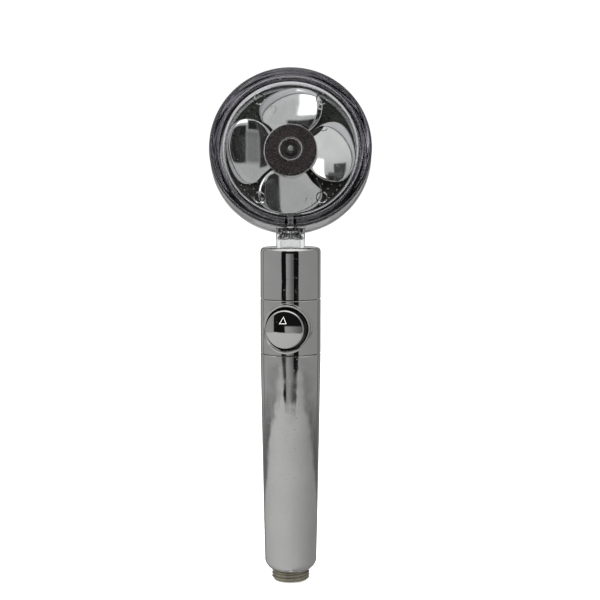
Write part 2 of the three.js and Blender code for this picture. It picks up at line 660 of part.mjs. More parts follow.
// ---------------------------------------------------------------- head
function shellCup() {
  const rimInner = HEAD_RADIUS - RIM_WIDTH;
  const depth = grooveDepth(BIG_SEAL_SECTION);
  const sealHalf = BIG_SEAL_GROOVE_WIDTH / 2;
  return turned([
    [0, PIN_TOP + FIT],
    [PIN_HOLE_RADIUS, PIN_TOP + FIT],
    [PIN_HOLE_RADIUS, BOSS_BOTTOM],
    [BOSS_RADIUS, BOSS_BOTTOM],
    [BOSS_RADIUS, WINDOW_BOTTOM],
    [CAVITY_RADIUS, WINDOW_BOTTOM],
    [SPIGOT_INNER, SPIGOT_END],
    [FACE_SEAL_CIRCLE - sealHalf, SPIGOT_END],
    [FACE_SEAL_CIRCLE - sealHalf, SPIGOT_END + depth],
    [FACE_SEAL_CIRCLE + sealHalf, SPIGOT_END + depth],
    [FACE_SEAL_CIRCLE + sealHalf, SPIGOT_END],
    [SPIGOT_OUTER, SPIGOT_END],
    [SPIGOT_OUTER, SHELL_EDGE],
    [HEAD_RADIUS, SHELL_EDGE],
    ...corner(HEAD_RADIUS - RIM_FILLET, RIM_HEIGHT - RIM_FILLET, RIM_FILLET, 0, 90, RIM_STEPS),
    [rimInner + RIM_CHAMFER, RIM_HEIGHT],
    [rimInner, RIM_HEIGHT - RIM_CHAMFER],
    [rimInner, WINDOW_TOP],
    [0, WINDOW_TOP],
  ], HEAD_SIDES);
}

function windowPad(angle) {
  const pad = rod(PAD_RADIUS, WINDOW_BOTTOM - PAD_HEIGHT, WINDOW_BOTTOM + PAD_HEIGHT, PAD_SIDES);
  const turn = THREE.MathUtils.degToRad(angle);
  return pad.translate(PAD_CIRCLE * Math.cos(turn), PAD_CIRCLE * Math.sin(turn), 0);
}

function neckOutside() {
  const depth = grooveDepth(SEAL_SECTION);
  const clipMiddle = CLIP_TOP_Z - CLIP_THICKNESS / 2;
  const top = HEAD_Z - HEAD_RADIUS + NECK_BLEND;
  return turned([
    [0, NECK_BOTTOM_Z],
    [NECK_RADIUS, NECK_BOTTOM_Z],
    ...groove(NECK_RADIUS, depth, NECK_SEALS.neck_o_ring_lower, SEAL_GROOVE_WIDTH),
    ...groove(NECK_RADIUS, depth, NECK_SEALS.neck_o_ring_upper, SEAL_GROOVE_WIDTH),
    ...groove(NECK_RADIUS, CLIP_GROOVE_DEPTH, clipMiddle, CLIP_THICKNESS + 2 * FIT),
    [NECK_RADIUS, top],
    [0, top],
  ], HANDLE_SIDES);
}

function neckBore() {
  const dome = HEAD_Z - HEAD_RADIUS - NECK_BORE_RADIUS;
  const cavity = HEAD_Z - CAVITY_RADIUS + CHANNEL_RUNOUT;
  return turned([
    [0, NECK_BOTTOM_Z - CUT_PAST],
    [NECK_BORE_RADIUS, NECK_BOTTOM_Z - CUT_PAST],
    [NECK_BORE_RADIUS, dome],
    [CHANNEL_RADIUS, dome + NECK_BORE_RADIUS],
    [CHANNEL_RADIUS, cavity],
    [0, cavity],
  ], INNER_SIDES);
}

function headShell() {
  let shell = solidOf(toWorld(shellCup(), head)).add(solidOf(neckOutside()));
  for (const angle of PAD_ANGLES) {
    shell = shell.add(solidOf(toWorld(windowPad(angle), head)));
  }
  return geometryOf(shell.subtract(solidOf(neckBore())));
}

function sprayRing() {
  const outer = SPRAY_RING_RADIUS;
  const lip = RING_INNER - PLATE_LIP_COVER;
  return turnedRing([
    [lip, RING_BOTTOM],
    [outer - SPRAY_RING_SLOPE, RING_BOTTOM],
    [outer, (RING_BOTTOM + RING_TOP) / 2 - SPRAY_RING_CHAMFER],
    [outer, RING_TOP - SPRAY_RING_CHAMFER],
    [outer - SPRAY_RING_CHAMFER, RING_TOP],
    [RING_INNER, RING_TOP],
    [RING_INNER, RING_BOTTOM + SPRAY_RING_LIP],
    [lip - FIT, RING_BOTTOM + SPRAY_RING_LIP],
  ], HEAD_SIDES);
}

function sprayHoles(radius, bottom, top) {
  const cutters = [];
  for (let ring = 0; ring < HOLE_RING_COUNT; ring += 1) {
    const circle = BACKING_RADIUS - HOLE_RING_INSET - ring * HOLE_RING_PITCH;
    const count = Math.round((2 * Math.PI * circle) / HOLE_SPACING);
    for (let i = 0; i < count; i += 1) {
      const angle = (2 * Math.PI * i) / count;
      const hole = rod(radius, bottom - CUT_PAST, top + CUT_PAST, HOLE_SIDES);
      cutters.push(hole.translate(circle * Math.cos(angle), circle * Math.sin(angle), 0));
    }
  }
  return solidOf(mergeGeometries(cutters));
}

function sprayPlate() {
  const edge = RING_INNER - PLATE_EDGE_GAP;
  const disc = solidOf(tube(SCREW_HOLE_RADIUS, edge, PLATE_BOTTOM, PLATE_TOP, HEAD_SIDES));
  return geometryOf(disc.subtract(sprayHoles(PLATE_HOLE_RADIUS, PLATE_BOTTOM, PLATE_TOP)));
}

function plateBacking() {
  const underside = BACKING_TOP - BACKING_THICKNESS;
  const rimInner = BACKING_RADIUS - BACKING_RIM;
  const pilotTop = PLATE_TOP - FIT + SCREW_SHANK_LENGTH - PLATE_THICKNESS;
  const disc = solidOf(turned([
    [0, pilotTop],
    [SCREW_HOLE_RADIUS, pilotTop],
    [SCREW_HOLE_RADIUS, BACKING_BOTTOM],
    [BACKING_BOSS_RADIUS, BACKING_BOTTOM],
    [BACKING_BOSS_RADIUS, underside],
    [rimInner, underside],
    [rimInner, BACKING_BOTTOM],
    [BACKING_RADIUS, BACKING_BOTTOM],
    [BACKING_RADIUS, BACKING_TOP],
    [PIN_HOLE_RADIUS, BACKING_TOP],
    [PIN_HOLE_RADIUS, PIN_BOTTOM - FIT],
    [0, PIN_BOTTOM - FIT],
  ], HEAD_SIDES));
  return geometryOf(disc.subtract(sprayHoles(BACKING_HOLE_RADIUS, underside, BACKING_TOP)));
}

function faceSeal() {
  return sealRing(FACE_SEAL_CIRCLE, BIG_SEAL_SECTION, SPIGOT_END + BIG_SEAL_SECTION, HEAD_SIDES);
}

function plateScrew() {
  const seat = PLATE_BOTTOM - FIT;
  return turned([
    [0, seat - SCREW_HEAD_HEIGHT],
    [SCREW_HEAD_RADIUS / 2, seat - SCREW_HEAD_HEIGHT],
    [SCREW_HEAD_RADIUS, seat - SCREW_HEAD_HEIGHT / 2],
    [SCREW_HEAD_RADIUS, seat],
    [SCREW_SHANK_RADIUS, seat],
    [SCREW_SHANK_RADIUS, seat + SCREW_SHANK_LENGTH],
    [0, seat + SCREW_SHANK_LENGTH],
  ], INNER_SIDES);
}

// ---------------------------------------------------------------- fan
// Half the blade's width at a distance from the fan's axis: two half ellipses that meet at the widest place.
function bladeHalfWidth(distance) {
  const outward = distance > BLADE_WIDEST_AT;
  const reach = outward ? BLADE_TIP_RADIUS - BLADE_WIDEST_AT : BLADE_WIDEST_AT - BLADE_ROOT_AT;
  const share = Math.min(1, Math.abs(distance - BLADE_WIDEST_AT) / reach);
  return BLADE_HALF_WIDTH * Math.sqrt(1 - share ** 2);
}

function bladeSweep(distance) {
  const share = Math.max(0, distance - BLADE_WIDEST_AT) / (BLADE_TIP_RADIUS - BLADE_WIDEST_AT);
  return BLADE_SWEEP * share ** 2;
}

// Height of the blade's middle surface, a pitched sheet that bulges towards the window.
function bladeHeight(x, distance) {
  const across = x / BLADE_HALF_WIDTH;
  const along = (distance - BLADE_BOW_AT) / BLADE_BOW_SPAN;
  return BLADE_MIDDLE + BLADE_RISE * across - BLADE_CROWN * across ** 2 - BLADE_BOW * along ** 2;
}

function blade() {
  const sheet = new THREE.BoxGeometry(2, 1, BLADE_THICKNESS, BLADE_GRID, BLADE_GRID, 1);
  const corners = sheet.attributes.position;
  const root = BLADE_ROOT_AT + BLADE_ROOT_CUT;
  const tip = BLADE_TIP_RADIUS - BLADE_TIP_CUT;
  for (let i = 0; i < corners.count; i += 1) {
    const along = (Math.sin(Math.PI * corners.getY(i)) + 1) / 2;
    const distance = THREE.MathUtils.lerp(root, tip, along);
    const across = corners.getX(i);
    const x = across * bladeHalfWidth(distance) + bladeSweep(distance);
    corners.setXYZ(i, x, distance, bladeHeight(x, distance) + corners.getZ(i));
  }
  return sheet;
}

function fanRotor() {
  const recess = HUB_RADIUS - HUB_WALL;
  const plate = HUB_FLOOR - HUB_PLATE;
  const bore = BUSHING_RADIUS + FIT;
  const skirt = HUB_RADIUS - HUB_SKIRT;
  const hub = solidOf(turnedRing([
    [bore, HUB_BOTTOM],
    [bore + HUB_TUBE_WALL, HUB_BOTTOM],
    [bore + HUB_TUBE_WALL, plate],
    [skirt, plate],
    [skirt, HUB_BOTTOM],
    [HUB_RADIUS, HUB_BOTTOM],
    [HUB_RADIUS, HUB_TOP],
    [recess, HUB_TOP],
    [recess, HUB_FLOOR],
    [bore, HUB_FLOOR],
  ], HANDLE_SIDES));
  const core = solidOf(rod(skirt + FIT, HUB_BOTTOM - CUT_PAST, HUB_TOP + CUT_PAST, HANDLE_SIDES));
  let rotor = hub;
  for (let i = 0; i < BLADE_COUNT; i += 1) {
    const turnedBlade = blade().rotateZ((2 * Math.PI * i) / BLADE_COUNT);
    rotor = rotor.add(solidOf(turnedBlade).subtract(core));
  }
  return geometryOf(rotor);
}

function hubCap() {
  const bottom = HUB_FLOOR + FIT;
  const edge = HUB_RADIUS - HUB_WALL - FIT;
  return tube(WASHER_RADIUS + FIT, edge, bottom, bottom + HUB_CAP_THICKNESS, HANDLE_SIDES);
}

function thrustWasher(bottom, top) {
  return tube(PIN_HOLE_RADIUS, WASHER_RADIUS, bottom, top, INNER_SIDES);
}

function fanBushing() {
  return tube(PIN_HOLE_RADIUS, BUSHING_RADIUS, BUSHING_BOTTOM, BUSHING_TOP, INNER_SIDES);
}

// ---------------------------------------------------------------- assembly
place(object, 'inlet_connector', inletConnector(), FINISH.nickel);
place(object, 'inlet_screen', inletScreen(), FINISH.steel);
place(object, 'flow_restrictor', flowRestrictor(), FINISH.whitePlastic);
place(object, 'connector_o_ring', bigSeal(CONNECTOR_RADIUS, CONNECTOR_SEAL_Z), FINISH.rubber);
place(object, 'grip_tube', gripTube(), FINISH.chrome);
place(object, 'grip_o_ring', bigSeal(SPIGOT_RADIUS, GRIP_SEAL_Z), FINISH.rubber);
place(object, 'valve_body', valveBody(), FINISH.whitePlastic);
place(object, 'switch_sleeve', switchSleeve(), FINISH.chrome);
place(object, 'bezel_ring', bezelRing(), FINISH.chrome);
place(object, 'handle_cap', handleCap(), FINISH.chrome);
place(object, 'neck_washer', neckWasher(), FINISH.whitePlastic);
place(object, 'neck_clip', neckClip(), FINISH.steel);
for (const [name, height] of Object.entries(NECK_SEALS)) {
  place(object, name, smallSeal(NECK_RADIUS, height), FINISH.rubber);
}
place(object, 'head_shell', headShell(), FINISH.clear);

place(buttonAxis, 'gland_nut', glandNut(), FINISH.whitePlastic);
place(buttonAxis, 'return_spring', returnSpring(), FINISH.steel);
place(buttonAxis, 'button', button(), FINISH.chrome);
place(buttonAxis, 'valve_spool', valveSpool(), FINISH.whitePlastic);
for (const [name, height] of Object.entries(SPOOL_SEALS)) {
  place(buttonAxis, name, smallSeal(SPOOL_RADIUS, height), FINISH.rubber);
}

place(head, 'spray_ring', sprayRing(), FINISH.chrome);
place(head, 'spray_plate', sprayPlate(), FINISH.steel);
place(head, 'plate_backing', plateBacking(), FINISH.blackPlastic);
place(head, 'face_seal', faceSeal(), FINISH.rubber);
place(head, 'plate_screw', plateScrew(), FINISH.steel);
place(head, 'axle_pin', rod(PIN_RADIUS, PIN_BOTTOM, PIN_TOP, INNER_SIDES), FINISH.steel);
place(head, 'front_thrust_washer', thrustWasher(BUSHING_TOP + FIT, BOSS_BOTTOM - FIT), FINISH.whitePlastic);
place(head, 'rear_thrust_washer', thrustWasher(REAR_WASHER_BOTTOM, REAR_WASHER_TOP), FINISH.whitePlastic);
place(head, 'fan_rotor', fanRotor(), FINISH.chrome);
place(head, 'hub_cap', hubCap(), FINISH.hubBrown);
place(head, 'fan_bushing', fanBushing(), FINISH.whitePlastic);

export default object;
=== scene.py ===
"""Looks for the handheld shower head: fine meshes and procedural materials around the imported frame.

Outlines are in millimetres and each is turned or lofted about one of three axes: the handle's, the head's
and the button's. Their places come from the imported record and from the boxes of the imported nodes.
"""
import json
import math

import bmesh
import bpy
from mathutils import Matrix, Vector


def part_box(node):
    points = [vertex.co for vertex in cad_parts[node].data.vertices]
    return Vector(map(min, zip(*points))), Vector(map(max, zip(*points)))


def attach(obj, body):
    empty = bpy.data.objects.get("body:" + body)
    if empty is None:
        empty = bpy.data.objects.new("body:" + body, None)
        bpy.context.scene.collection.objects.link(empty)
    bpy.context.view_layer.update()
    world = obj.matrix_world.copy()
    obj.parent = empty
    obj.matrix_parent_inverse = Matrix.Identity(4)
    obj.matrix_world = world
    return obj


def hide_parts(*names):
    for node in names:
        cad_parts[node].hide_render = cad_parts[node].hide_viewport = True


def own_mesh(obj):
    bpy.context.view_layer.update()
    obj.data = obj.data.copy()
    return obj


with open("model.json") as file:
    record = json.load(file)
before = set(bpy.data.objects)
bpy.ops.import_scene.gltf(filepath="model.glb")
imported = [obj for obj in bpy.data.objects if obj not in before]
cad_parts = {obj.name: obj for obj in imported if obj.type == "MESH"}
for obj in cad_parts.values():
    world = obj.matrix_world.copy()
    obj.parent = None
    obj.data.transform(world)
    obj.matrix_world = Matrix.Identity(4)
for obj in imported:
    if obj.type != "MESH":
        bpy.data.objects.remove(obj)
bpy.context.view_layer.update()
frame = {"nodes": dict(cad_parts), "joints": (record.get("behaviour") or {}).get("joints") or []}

MM = 0.001
scene = bpy.context.scene


# ------------------------------------------------------------------ places from the frame
def size_of(node, axis):
    low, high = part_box(node)
    return (high[axis] - low[axis]) / MM


def bottom_of(node):
    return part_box(node)[0].z / MM


def top_of(node):
    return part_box(node)[1].z / MM


JOINTS = {joint["name"]: joint for joint in frame["joints"]}


def axes_frame(origin, z_axis, x_hint):
    """A frame in metres whose Z runs along z_axis and whose X is as near x_hint as it can be."""
    z = Vector(z_axis).normalized()
    y = z.cross(Vector(x_hint)).normalized()
    x = y.cross(z)
    rotation = Matrix((x, y, z)).transposed().to_4x4()
    return Matrix.Translation(Vector(origin)) @ rotation


HANDLE_AXIS = Matrix.Identity(4)
HEAD_AXIS = axes_frame(JOINTS["fan_spin"]["pos_m"], JOINTS["fan_spin"]["axis"], (1, 0, 0))
SLEEVE_MIDDLE = (bottom_of("switch_sleeve") + top_of("switch_sleeve")) / 2
PRESS = Vector(JOINTS["button_press"]["axis"])
BUTTON_AXIS = axes_frame((0, 0, SLEEVE_MIDDLE * MM), -PRESS, (1, 0, 0))

HANDLE_RADIUS = size_of("switch_sleeve", 0) / 2
GRIP_START = bottom_of("grip_tube")
GRIP_TOP = top_of("grip_tube")
SLEEVE_BOTTOM = bottom_of("switch_sleeve")
SLEEVE_TOP = top_of("switch_sleeve")
CAP_BOTTOM = bottom_of("handle_cap")
CAP_TOP = top_of("handle_cap")
HEAD_RADIUS = size_of("head_shell", 0) / 2


# ------------------------------------------------------------------ mesh helpers
# A narrow strip beside each fillet keeps the flat beyond it flat when shaded.
FLAT_GUARD = 0.06
AXIS_TOLERANCE = 1e-6
WELD_DISTANCE = 1e-7


def rolled(start, corner, end, steps):
    """Points from start to end on a curve that leaves and arrives towards the corner."""
    curve = []
    for k in range(steps + 1):
        t = k / steps
        curve.append(tuple(start * (1 - t) ** 2 + corner * 2 * t * (1 - t) + end * t ** 2))
    return curve


def rounded(points, steps=5):
    """Turns (radius, height, fillet) corners into a smooth outline; one without a fillet stays sharp."""
    outline = []
    for i, point in enumerate(points):
        corner = Vector(point[:2])
        fillet = point[2] if len(point) > 2 else 0
        if not fillet:
            outline.append(tuple(corner))
            continue
        before = Vector(points[i - 1][:2]) - corner
        after = Vector(points[(i + 1) % len(points)][:2]) - corner
        reach = min(fillet, before.length / 2, after.length / 2)
        start = corner + before.normalized() * reach
        end = corner + after.normalized() * reach
        if before.length / 2 > reach + FLAT_GUARD:
            outline.append(tuple(start + before.normalized() * FLAT_GUARD))
        outline += rolled(start, corner, end, steps)
        if after.length / 2 > reach + FLAT_GUARD:
            outline.append(tuple(end + after.normalized() * FLAT_GUARD))
    return outline


def shade(mesh, sharp=32):
    mesh.shade_smooth()
    mesh.set_sharp_from_angle(angle=math.radians(sharp))


def add_object(name, mesh, place):
    """Links a mesh with its place worked into it, so that every piece's own frame is the shared one."""
    mesh.transform(place)
    obj = bpy.data.objects.new(name, mesh)
    scene.collection.objects.link(obj)
    return obj


def mesh_from(name, bm, sharp=32):
    bmesh.ops.remove_doubles(bm, verts=bm.verts, dist=WELD_DISTANCE)
    bmesh.ops.recalc_face_normals(bm, faces=bm.faces)
    mesh = bpy.data.meshes.new(name)
    bm.to_mesh(mesh)
    bm.free()
    shade(mesh, sharp)
    return mesh


def turned(name, outline, place=HANDLE_AXIS, sides=144, closed=False, radius_at=None, sharp=32):
    """A body turned about Z from (radius, height) points; radius_at can bend the radius by angle."""
    bm = bmesh.new()
    rows = []
    for r, z in outline:
        if r < AXIS_TOLERANCE:
            rows.append([bm.verts.new((0, 0, z * MM))])
            continue
        row = []
        for i in range(sides):
            angle = 2 * math.pi * i / sides
            radius = radius_at(r, z, angle) if radius_at else r
            row.append(bm.verts.new((radius * math.cos(angle) * MM, radius * math.sin(angle) * MM, z * MM)))
        rows.append(row)
    pairs = list(zip(rows, rows[1:]))
    if closed:
        pairs.append((rows[-1], rows[0]))
    for low, high in pairs:
        join_rows(bm, low, high, sides)
    return add_object(name, mesh_from(name, bm, sharp), place)


def join_rows(bm, low, high, sides):
    """Faces between two rings of points; a ring of one point lies on the axis."""
    if len(low) == 1 and len(high) == 1:
        return
    for i in range(sides):
        j = (i + 1) % sides
        if len(low) == 1:
            bm.faces.new((low[0], high[j], high[i]))
        elif len(high) == 1:
            bm.faces.new((low[i], low[j], high[0]))
        else:
            bm.faces.new((low[i], low[j], high[j], high[i]))


def lofted(name, sections, place, loop_closed, sharp=32):
    """A skin over equal rows of points in millimetres; loop_closed joins the last row to the first."""
    bm = bmesh.new()
    rows = [[bm.verts.new(Vector(p) * MM) for p in section] for section in sections]
    count = len(rows[0])
    pairs = list(zip(rows, rows[1:]))
    if loop_closed:
        pairs.append((rows[-1], rows[0]))
    for low, high in pairs:
        for i in range(count):
            j = (i + 1) % count
            bm.faces.new((low[i], low[j], high[j], high[i]))
    if not loop_closed:
        bm.faces.new(rows[0][::-1])
        bm.faces.new(rows[-1])
    return add_object(name, mesh_from(name, bm, sharp), place)


def combine(obj, other, how):
    """Joins or cuts obj by other with an exact boolean, and removes other."""
    modifier = obj.modifiers.new("combine", "BOOLEAN")
    modifier.operation = how
    modifier.solver = "EXACT"
    modifier.object = other
    bpy.context.view_layer.update()
    evaluated = obj.evaluated_get(bpy.context.evaluated_depsgraph_get())
    mesh = bpy.data.meshes.new_from_object(evaluated)
    obj.modifiers.clear()
    old = obj.data
    obj.data = mesh
    mesh.name = old.name
    bpy.data.meshes.remove(old)
    bpy.data.objects.remove(other)
    shade(mesh)
    return obj


DISC_SIDES = 180
CENTRE_HOLE_SIDES = 36
PINHOLE_SIDES = 10


def perforated_disc(name, outer, inner, bottom, top, rings, hole_radius):
    """A flat disc about the head's axis with a centre hole and (circle, count) rings of round holes."""
    loops = [ring_points(0, 0, outer, DISC_SIDES), ring_points(0, 0, inner, CENTRE_HOLE_SIDES)]
    for circle, count in rings:
        for x, y in ring_points(0, 0, circle, count):
            loops.append(ring_points(x, y, hole_radius, PINHOLE_SIDES))
    bm = bmesh.new()
    edges = []
    lower = []
    for loop in loops:
        verts = [bm.verts.new((x * MM, y * MM, bottom * MM)) for x, y in loop]
        lower.append(verts)
        edges += [bm.edges.new((vert, after)) for vert, after in zip(verts, verts[1:] + verts[:1])]
    filled = bmesh.ops.triangle_fill(bm, edges=edges, use_dissolve=False, use_beauty=True)
    faces = [item for item in filled["geom"] if isinstance(item, bmesh.types.BMFace)]
    above = {}
    for verts in lower:
        for vert in verts:
            above[vert] = bm.verts.new((vert.co.x, vert.co.y, top * MM))
    for face in faces:
        bm.faces.new([above[v] for v in face.verts])
    for verts in lower:
        for vert, after in zip(verts, verts[1:] + verts[:1]):
            bm.faces.new((vert, after, above[after], above[vert]))
    return add_object(name, mesh_from(name, bm), HEAD_AXIS)


def ring_points(x, y, radius, sides):
    return [
        (x + radius * math.cos(2 * math.pi * i / sides), y + radius * math.sin(2 * math.pi * i / sides))
        for i in range(sides)
    ]


# ------------------------------------------------------------------ material helpers
class Graph:
    """Small helpers for building one node tree."""

    def __init__(self, tree):
        self.tree = tree

    def add(self, kind, **settings):
        node = self.tree.nodes.new(kind)
        for key, value in settings.items():
            setattr(node, key, value)
        return node

    def link(self, source, target):
        self.tree.links.new(source, target)

    def feed(self, node, values):
        for socket, value in zip(node.inputs, values):
            if isinstance(value, (int, float)):
                socket.default_value = value
            else:
                self.link(value, socket)

    def math(self, how, *values):
        node = self.add("ShaderNodeMath", operation=how)
        self.feed(node, values)
        return node.outputs["Value"]

    def span(self, value, low, high, to_low=0, to_high=1):
        node = self.add("ShaderNodeMapRange", interpolation_type="SMOOTHSTEP")
        self.feed(node, (value, low, high, to_low, to_high))
        return node.outputs["Result"]

    def product(self, *values):
        result = values[0]
        for value in values[1:]:
            result = self.math("MULTIPLY", result, value)
        return result

    def blend(self, factor, low, high):
        """low where the factor is 0 and high where it is 1, for plain numbers."""
        node = self.add("ShaderNodeMix", data_type="FLOAT")
        self.feed(node, (factor,))
        for socket, value in ((node.inputs[2], low), (node.inputs[3], high)):
            if isinstance(value, (int, float)):
                socket.default_value = value
            else:
                self.link(value, socket)
        return node.outputs[0]


class Surface(Graph):
    """One material around its Principled shader."""

    def __init__(self, name):
        self.material = bpy.data.materials.new(name)
        self.material.use_nodes = True
        super().__init__(self.material.node_tree)
        self.shader = self.tree.nodes["Principled BSDF"]
        self.output = self.tree.nodes["Material Output"]
        self.place = self.add("ShaderNodeTexCoord").outputs["Object"]

    @classmethod
    def over(cls, material):
        """Helpers for a material that is there already."""
        surface = cls.__new__(cls)
        Graph.__init__(surface, material.node_tree)
        surface.material = material
        surface.shader = surface.tree.nodes["Principled BSDF"]
        surface.output = surface.tree.nodes["Material Output"]
        surface.place = surface.add("ShaderNodeTexCoord").outputs["Object"]
        return surface

    def set(self, **values):
        for key, value in values.items():
            self.shader.inputs[key.replace("_", " ")].default_value = value

    def stretched(self, scale, place=None):
        mapping = self.add("ShaderNodeMapping")
        mapping.inputs["Scale"].default_value = scale
        self.link(place or self.place, mapping.inputs["Vector"])
        return mapping.outputs["Vector"]

    def local(self, axes):
        """The place measured in one of the object's own frames."""
        mapping = self.add("ShaderNodeMapping", vector_type="TEXTURE")
        mapping.inputs["Location"].default_value = axes.to_translation()
        mapping.inputs["Rotation"].default_value = axes.to_euler()
        self.link(self.place, mapping.inputs["Vector"])
        return mapping.outputs["Vector"]

    def polar(self, axes):
        """Distance from a frame's axis and the angle round it."""
        split = self.add("ShaderNodeSeparateXYZ")
        self.link(self.local(axes), split.inputs[0])
        x, y = split.outputs[0], split.outputs[1]
        distance = self.math("SQRT", self.math("ADD", self.product(x, x), self.product(y, y)))
        return distance, self.math("ARCTAN2", y, x)

    def noise(self, scale, detail=4, stretch=(1, 1, 1), roughness=0.5, place=None):
        node = self.add("ShaderNodeTexNoise")
        node.inputs["Scale"].default_value = scale
        node.inputs["Detail"].default_value = detail
        node.inputs["Roughness"].default_value = roughness
        self.link(self.stretched(stretch, place), node.inputs["Vector"])
        return node.outputs["Fac"]

    def spots(self, scale, size):
        """Round spots: 1 in a spot and 0 outside, at about scale per metre."""
        node = self.add("ShaderNodeTexVoronoi", feature="F1")
        node.inputs["Scale"].default_value = scale
        self.link(self.place, node.inputs["Vector"])
        return self.span(node.outputs["Distance"], size * 0.7, size, 1, 0)

    def tint(self, factor, dark, light):
        node = self.add("ShaderNodeMix", data_type="RGBA")
        self.link(factor, node.inputs[0])
        node.inputs[6].default_value = (*dark, 1)
        node.inputs[7].default_value = (*light, 1)
        return node.outputs[2]

    def mixed(self, factor, color, other):
        """The linked colour where the factor is 0 and the plain one where it is 1."""
        node = self.add("ShaderNodeMix", data_type="RGBA")
        self.link(factor, node.inputs[0])
        self.link(color, node.inputs[6])
        node.inputs[7].default_value = (*other, 1)
        return node.outputs[2]

    def bump(self, height, distance, strength=1.0):
        node = self.add("ShaderNodeBump")
        node.inputs["Distance"].default_value = distance
        node.inputs["Strength"].default_value = strength
        self.link(height, node.inputs["Height"])
        self.link(node.outputs["Normal"], self.shader.inputs["Normal"])

    def color(self, socket):
        self.link(socket, self.shader.inputs["Base Color"])

    def roughness(self, socket):
        self.link(socket, self.shader.inputs["Roughness"])


def chrome(name, smear=1.0, tone=(0.80, 0.80, 0.79)):
    """Bright plating over moulded plastic: slow waviness, wiping marks and dried water spots."""
    m = Surface(name)
    m.set(Metallic=1.0)
    clouds = m.noise(55, 5)
    streaks = m.noise(240, 4, (1, 1, 0.12))
    spots = m.spots(420, 0.16)
    darker = tuple(c * 0.93 for c in tone)
    m.color(m.tint(m.span(clouds, 0.35, 0.7, 0, 1), darker, tone))
    wiped = m.span(streaks, 0.45, 0.75, 0.035, 0.035 + 0.09 * smear)
    dried = m.math("MULTIPLY", m.math("MULTIPLY", spots, m.span(clouds, 0.52, 0.62, 0, 1)), 0.14 * smear)
    m.roughness(m.math("ADD", wiped, dried))
    wave = m.math("ADD", m.noise(38, 2), m.math("MULTIPLY", spots, 0.05))
    m.bump(wave, 0.00022 * smear)
    return m.material


def button_chrome_shaded_skirt(name):
    """Chrome plating on the face and its bead; the body below is painted near-black as painted shade for the
    shadowed gap round the button.
    """
    material = chrome(name)
    m = Surface.over(material)
    height = m.add("ShaderNodeSeparateXYZ")
    m.link(m.local(BUTTON_AXIS), height.inputs[0])
    edge = (HANDLE_RADIUS + BUTTON_PROUD - BUTTON_BEAD) * MM
    plated = m.span(height.outputs[2], edge - 0.00005, edge + 0.00005)
    shine = m.shader.inputs["Base Color"].links[0].from_socket
    # Painted shade: below the bead the colour is near-black and not metallic, standing in for the shadow in the
    # gap between button and bezel.
    dark = m.math("SUBTRACT", 1.0, plated)
    m.color(m.mixed(dark, shine, (0.008, 0.008, 0.008)))
    m.link(plated, m.shader.inputs["Metallic"])
    return material


# The rim tint below is painted shade: a darker violet that stands in for the dark reflections at the clear rim's
# edge.
RIM_SHADE_TINT = (0.68, 0.66, 0.72)
WALL_TINT = (0.86, 0.87, 0.865)
WINDOW_TINT = (0.965, 0.975, 0.975)


def clear_plastic(name):
    """Clear moulded plastic: a darker violet rim tint as painted shade for the dark reflections at its edge, faint
    flow marks and haze; lamps reach through it.
    """
    m = Surface(name)
    m.set(Transmission_Weight=1.0, IOR=1.49)
    distance, _ = m.polar(HEAD_AXIS)
    # Painted shade: the band from the rim's inner edge to its outer edge takes the rim tint, less of it in the
    # neck.
    rim_shade_mask = m.product(m.span(distance, 0.0389, 0.0396), m.span(distance, 0.0451, 0.0455, 1, 0))
    from_neck, _ = m.polar(HANDLE_AXIS)
    height = m.add("ShaderNodeSeparateXYZ")
    m.link(m.place, height.inputs[0])
    head_z = HEAD_AXIS.translation.z
    below_head = m.span(height.outputs[2], head_z - 0.02, head_z, 1, 0)
    in_neck = m.product(m.span(from_neck, 0.009, 0.0105, 1, 0), below_head)
    rim_shade_mask = m.product(rim_shade_mask, m.math("SUBTRACT", 1.0, m.product(in_neck, 0.85)))
    window = m.tint(m.span(distance, 0.0449, 0.0453), WINDOW_TINT, WALL_TINT)
    m.color(m.mixed(rim_shade_mask, window, RIM_SHADE_TINT))
    haze = m.noise(70, 4)
    spots = m.spots(600, 0.12)
    m.roughness(m.math("ADD", m.span(haze, 0.45, 0.75, 0.0, 0.045), m.math("MULTIPLY", spots, 0.06)))
    m.bump(m.noise(26, 2), 0.00008)
    through = m.add("ShaderNodeBsdfTransparent")
    through.inputs["Color"].default_value = (0.93, 0.94, 0.94, 1)
    mix = m.add("ShaderNodeMixShader")
    path = m.add("ShaderNodeLightPath")
    m.link(path.outputs["Is Shadow Ray"], mix.inputs["Fac"])
    m.link(m.shader.outputs["BSDF"], mix.inputs[1])
    m.link(through.outputs["BSDF"], mix.inputs[2])
    m.link(mix.outputs["Shader"], m.output.inputs["Surface"])
    return m.material


def moulded(name, dark, light, roughness, grain=900, depth=0.00002):
    """Plain moulded plastic with a fine grain and slight colour drift."""
    m = Surface(name)
    m.color(m.tint(m.noise(60, 4), dark, light))
    m.roughness(m.span(m.noise(grain, 3), 0.3, 0.7, roughness - 0.06, roughness + 0.08))
    m.bump(m.noise(grain, 4), depth)
    return m.material


def turned_metal(name, dark, light, roughness, stretch=(1, 1, 40)):
    """Machined or plated metal with fine tool marks."""
    m = Surface(name)
    m.set(Metallic=1.0)
    marks = m.noise(90, 5, stretch)
    m.color(m.tint(m.noise(140, 5), dark, light))
    m.roughness(m.span(marks, 0.3, 0.7, roughness - 0.06, roughness + 0.1))
    m.bump(marks, 0.00003)
    return m.material


def brushed_plate(name):
    """Stainless sheet brushed straight across."""
    m = Surface(name)
    m.set(Metallic=1.0, Anisotropic=0.5)
    lines = m.noise(60, 6, (1, 60, 60))
    m.color(m.tint(m.noise(30, 3), (0.52, 0.52, 0.51), (0.66, 0.66, 0.65)))
    m.roughness(m.span(lines, 0.25, 0.75, 0.2, 0.38))
    m.bump(lines, 0.00002)
    return m.material


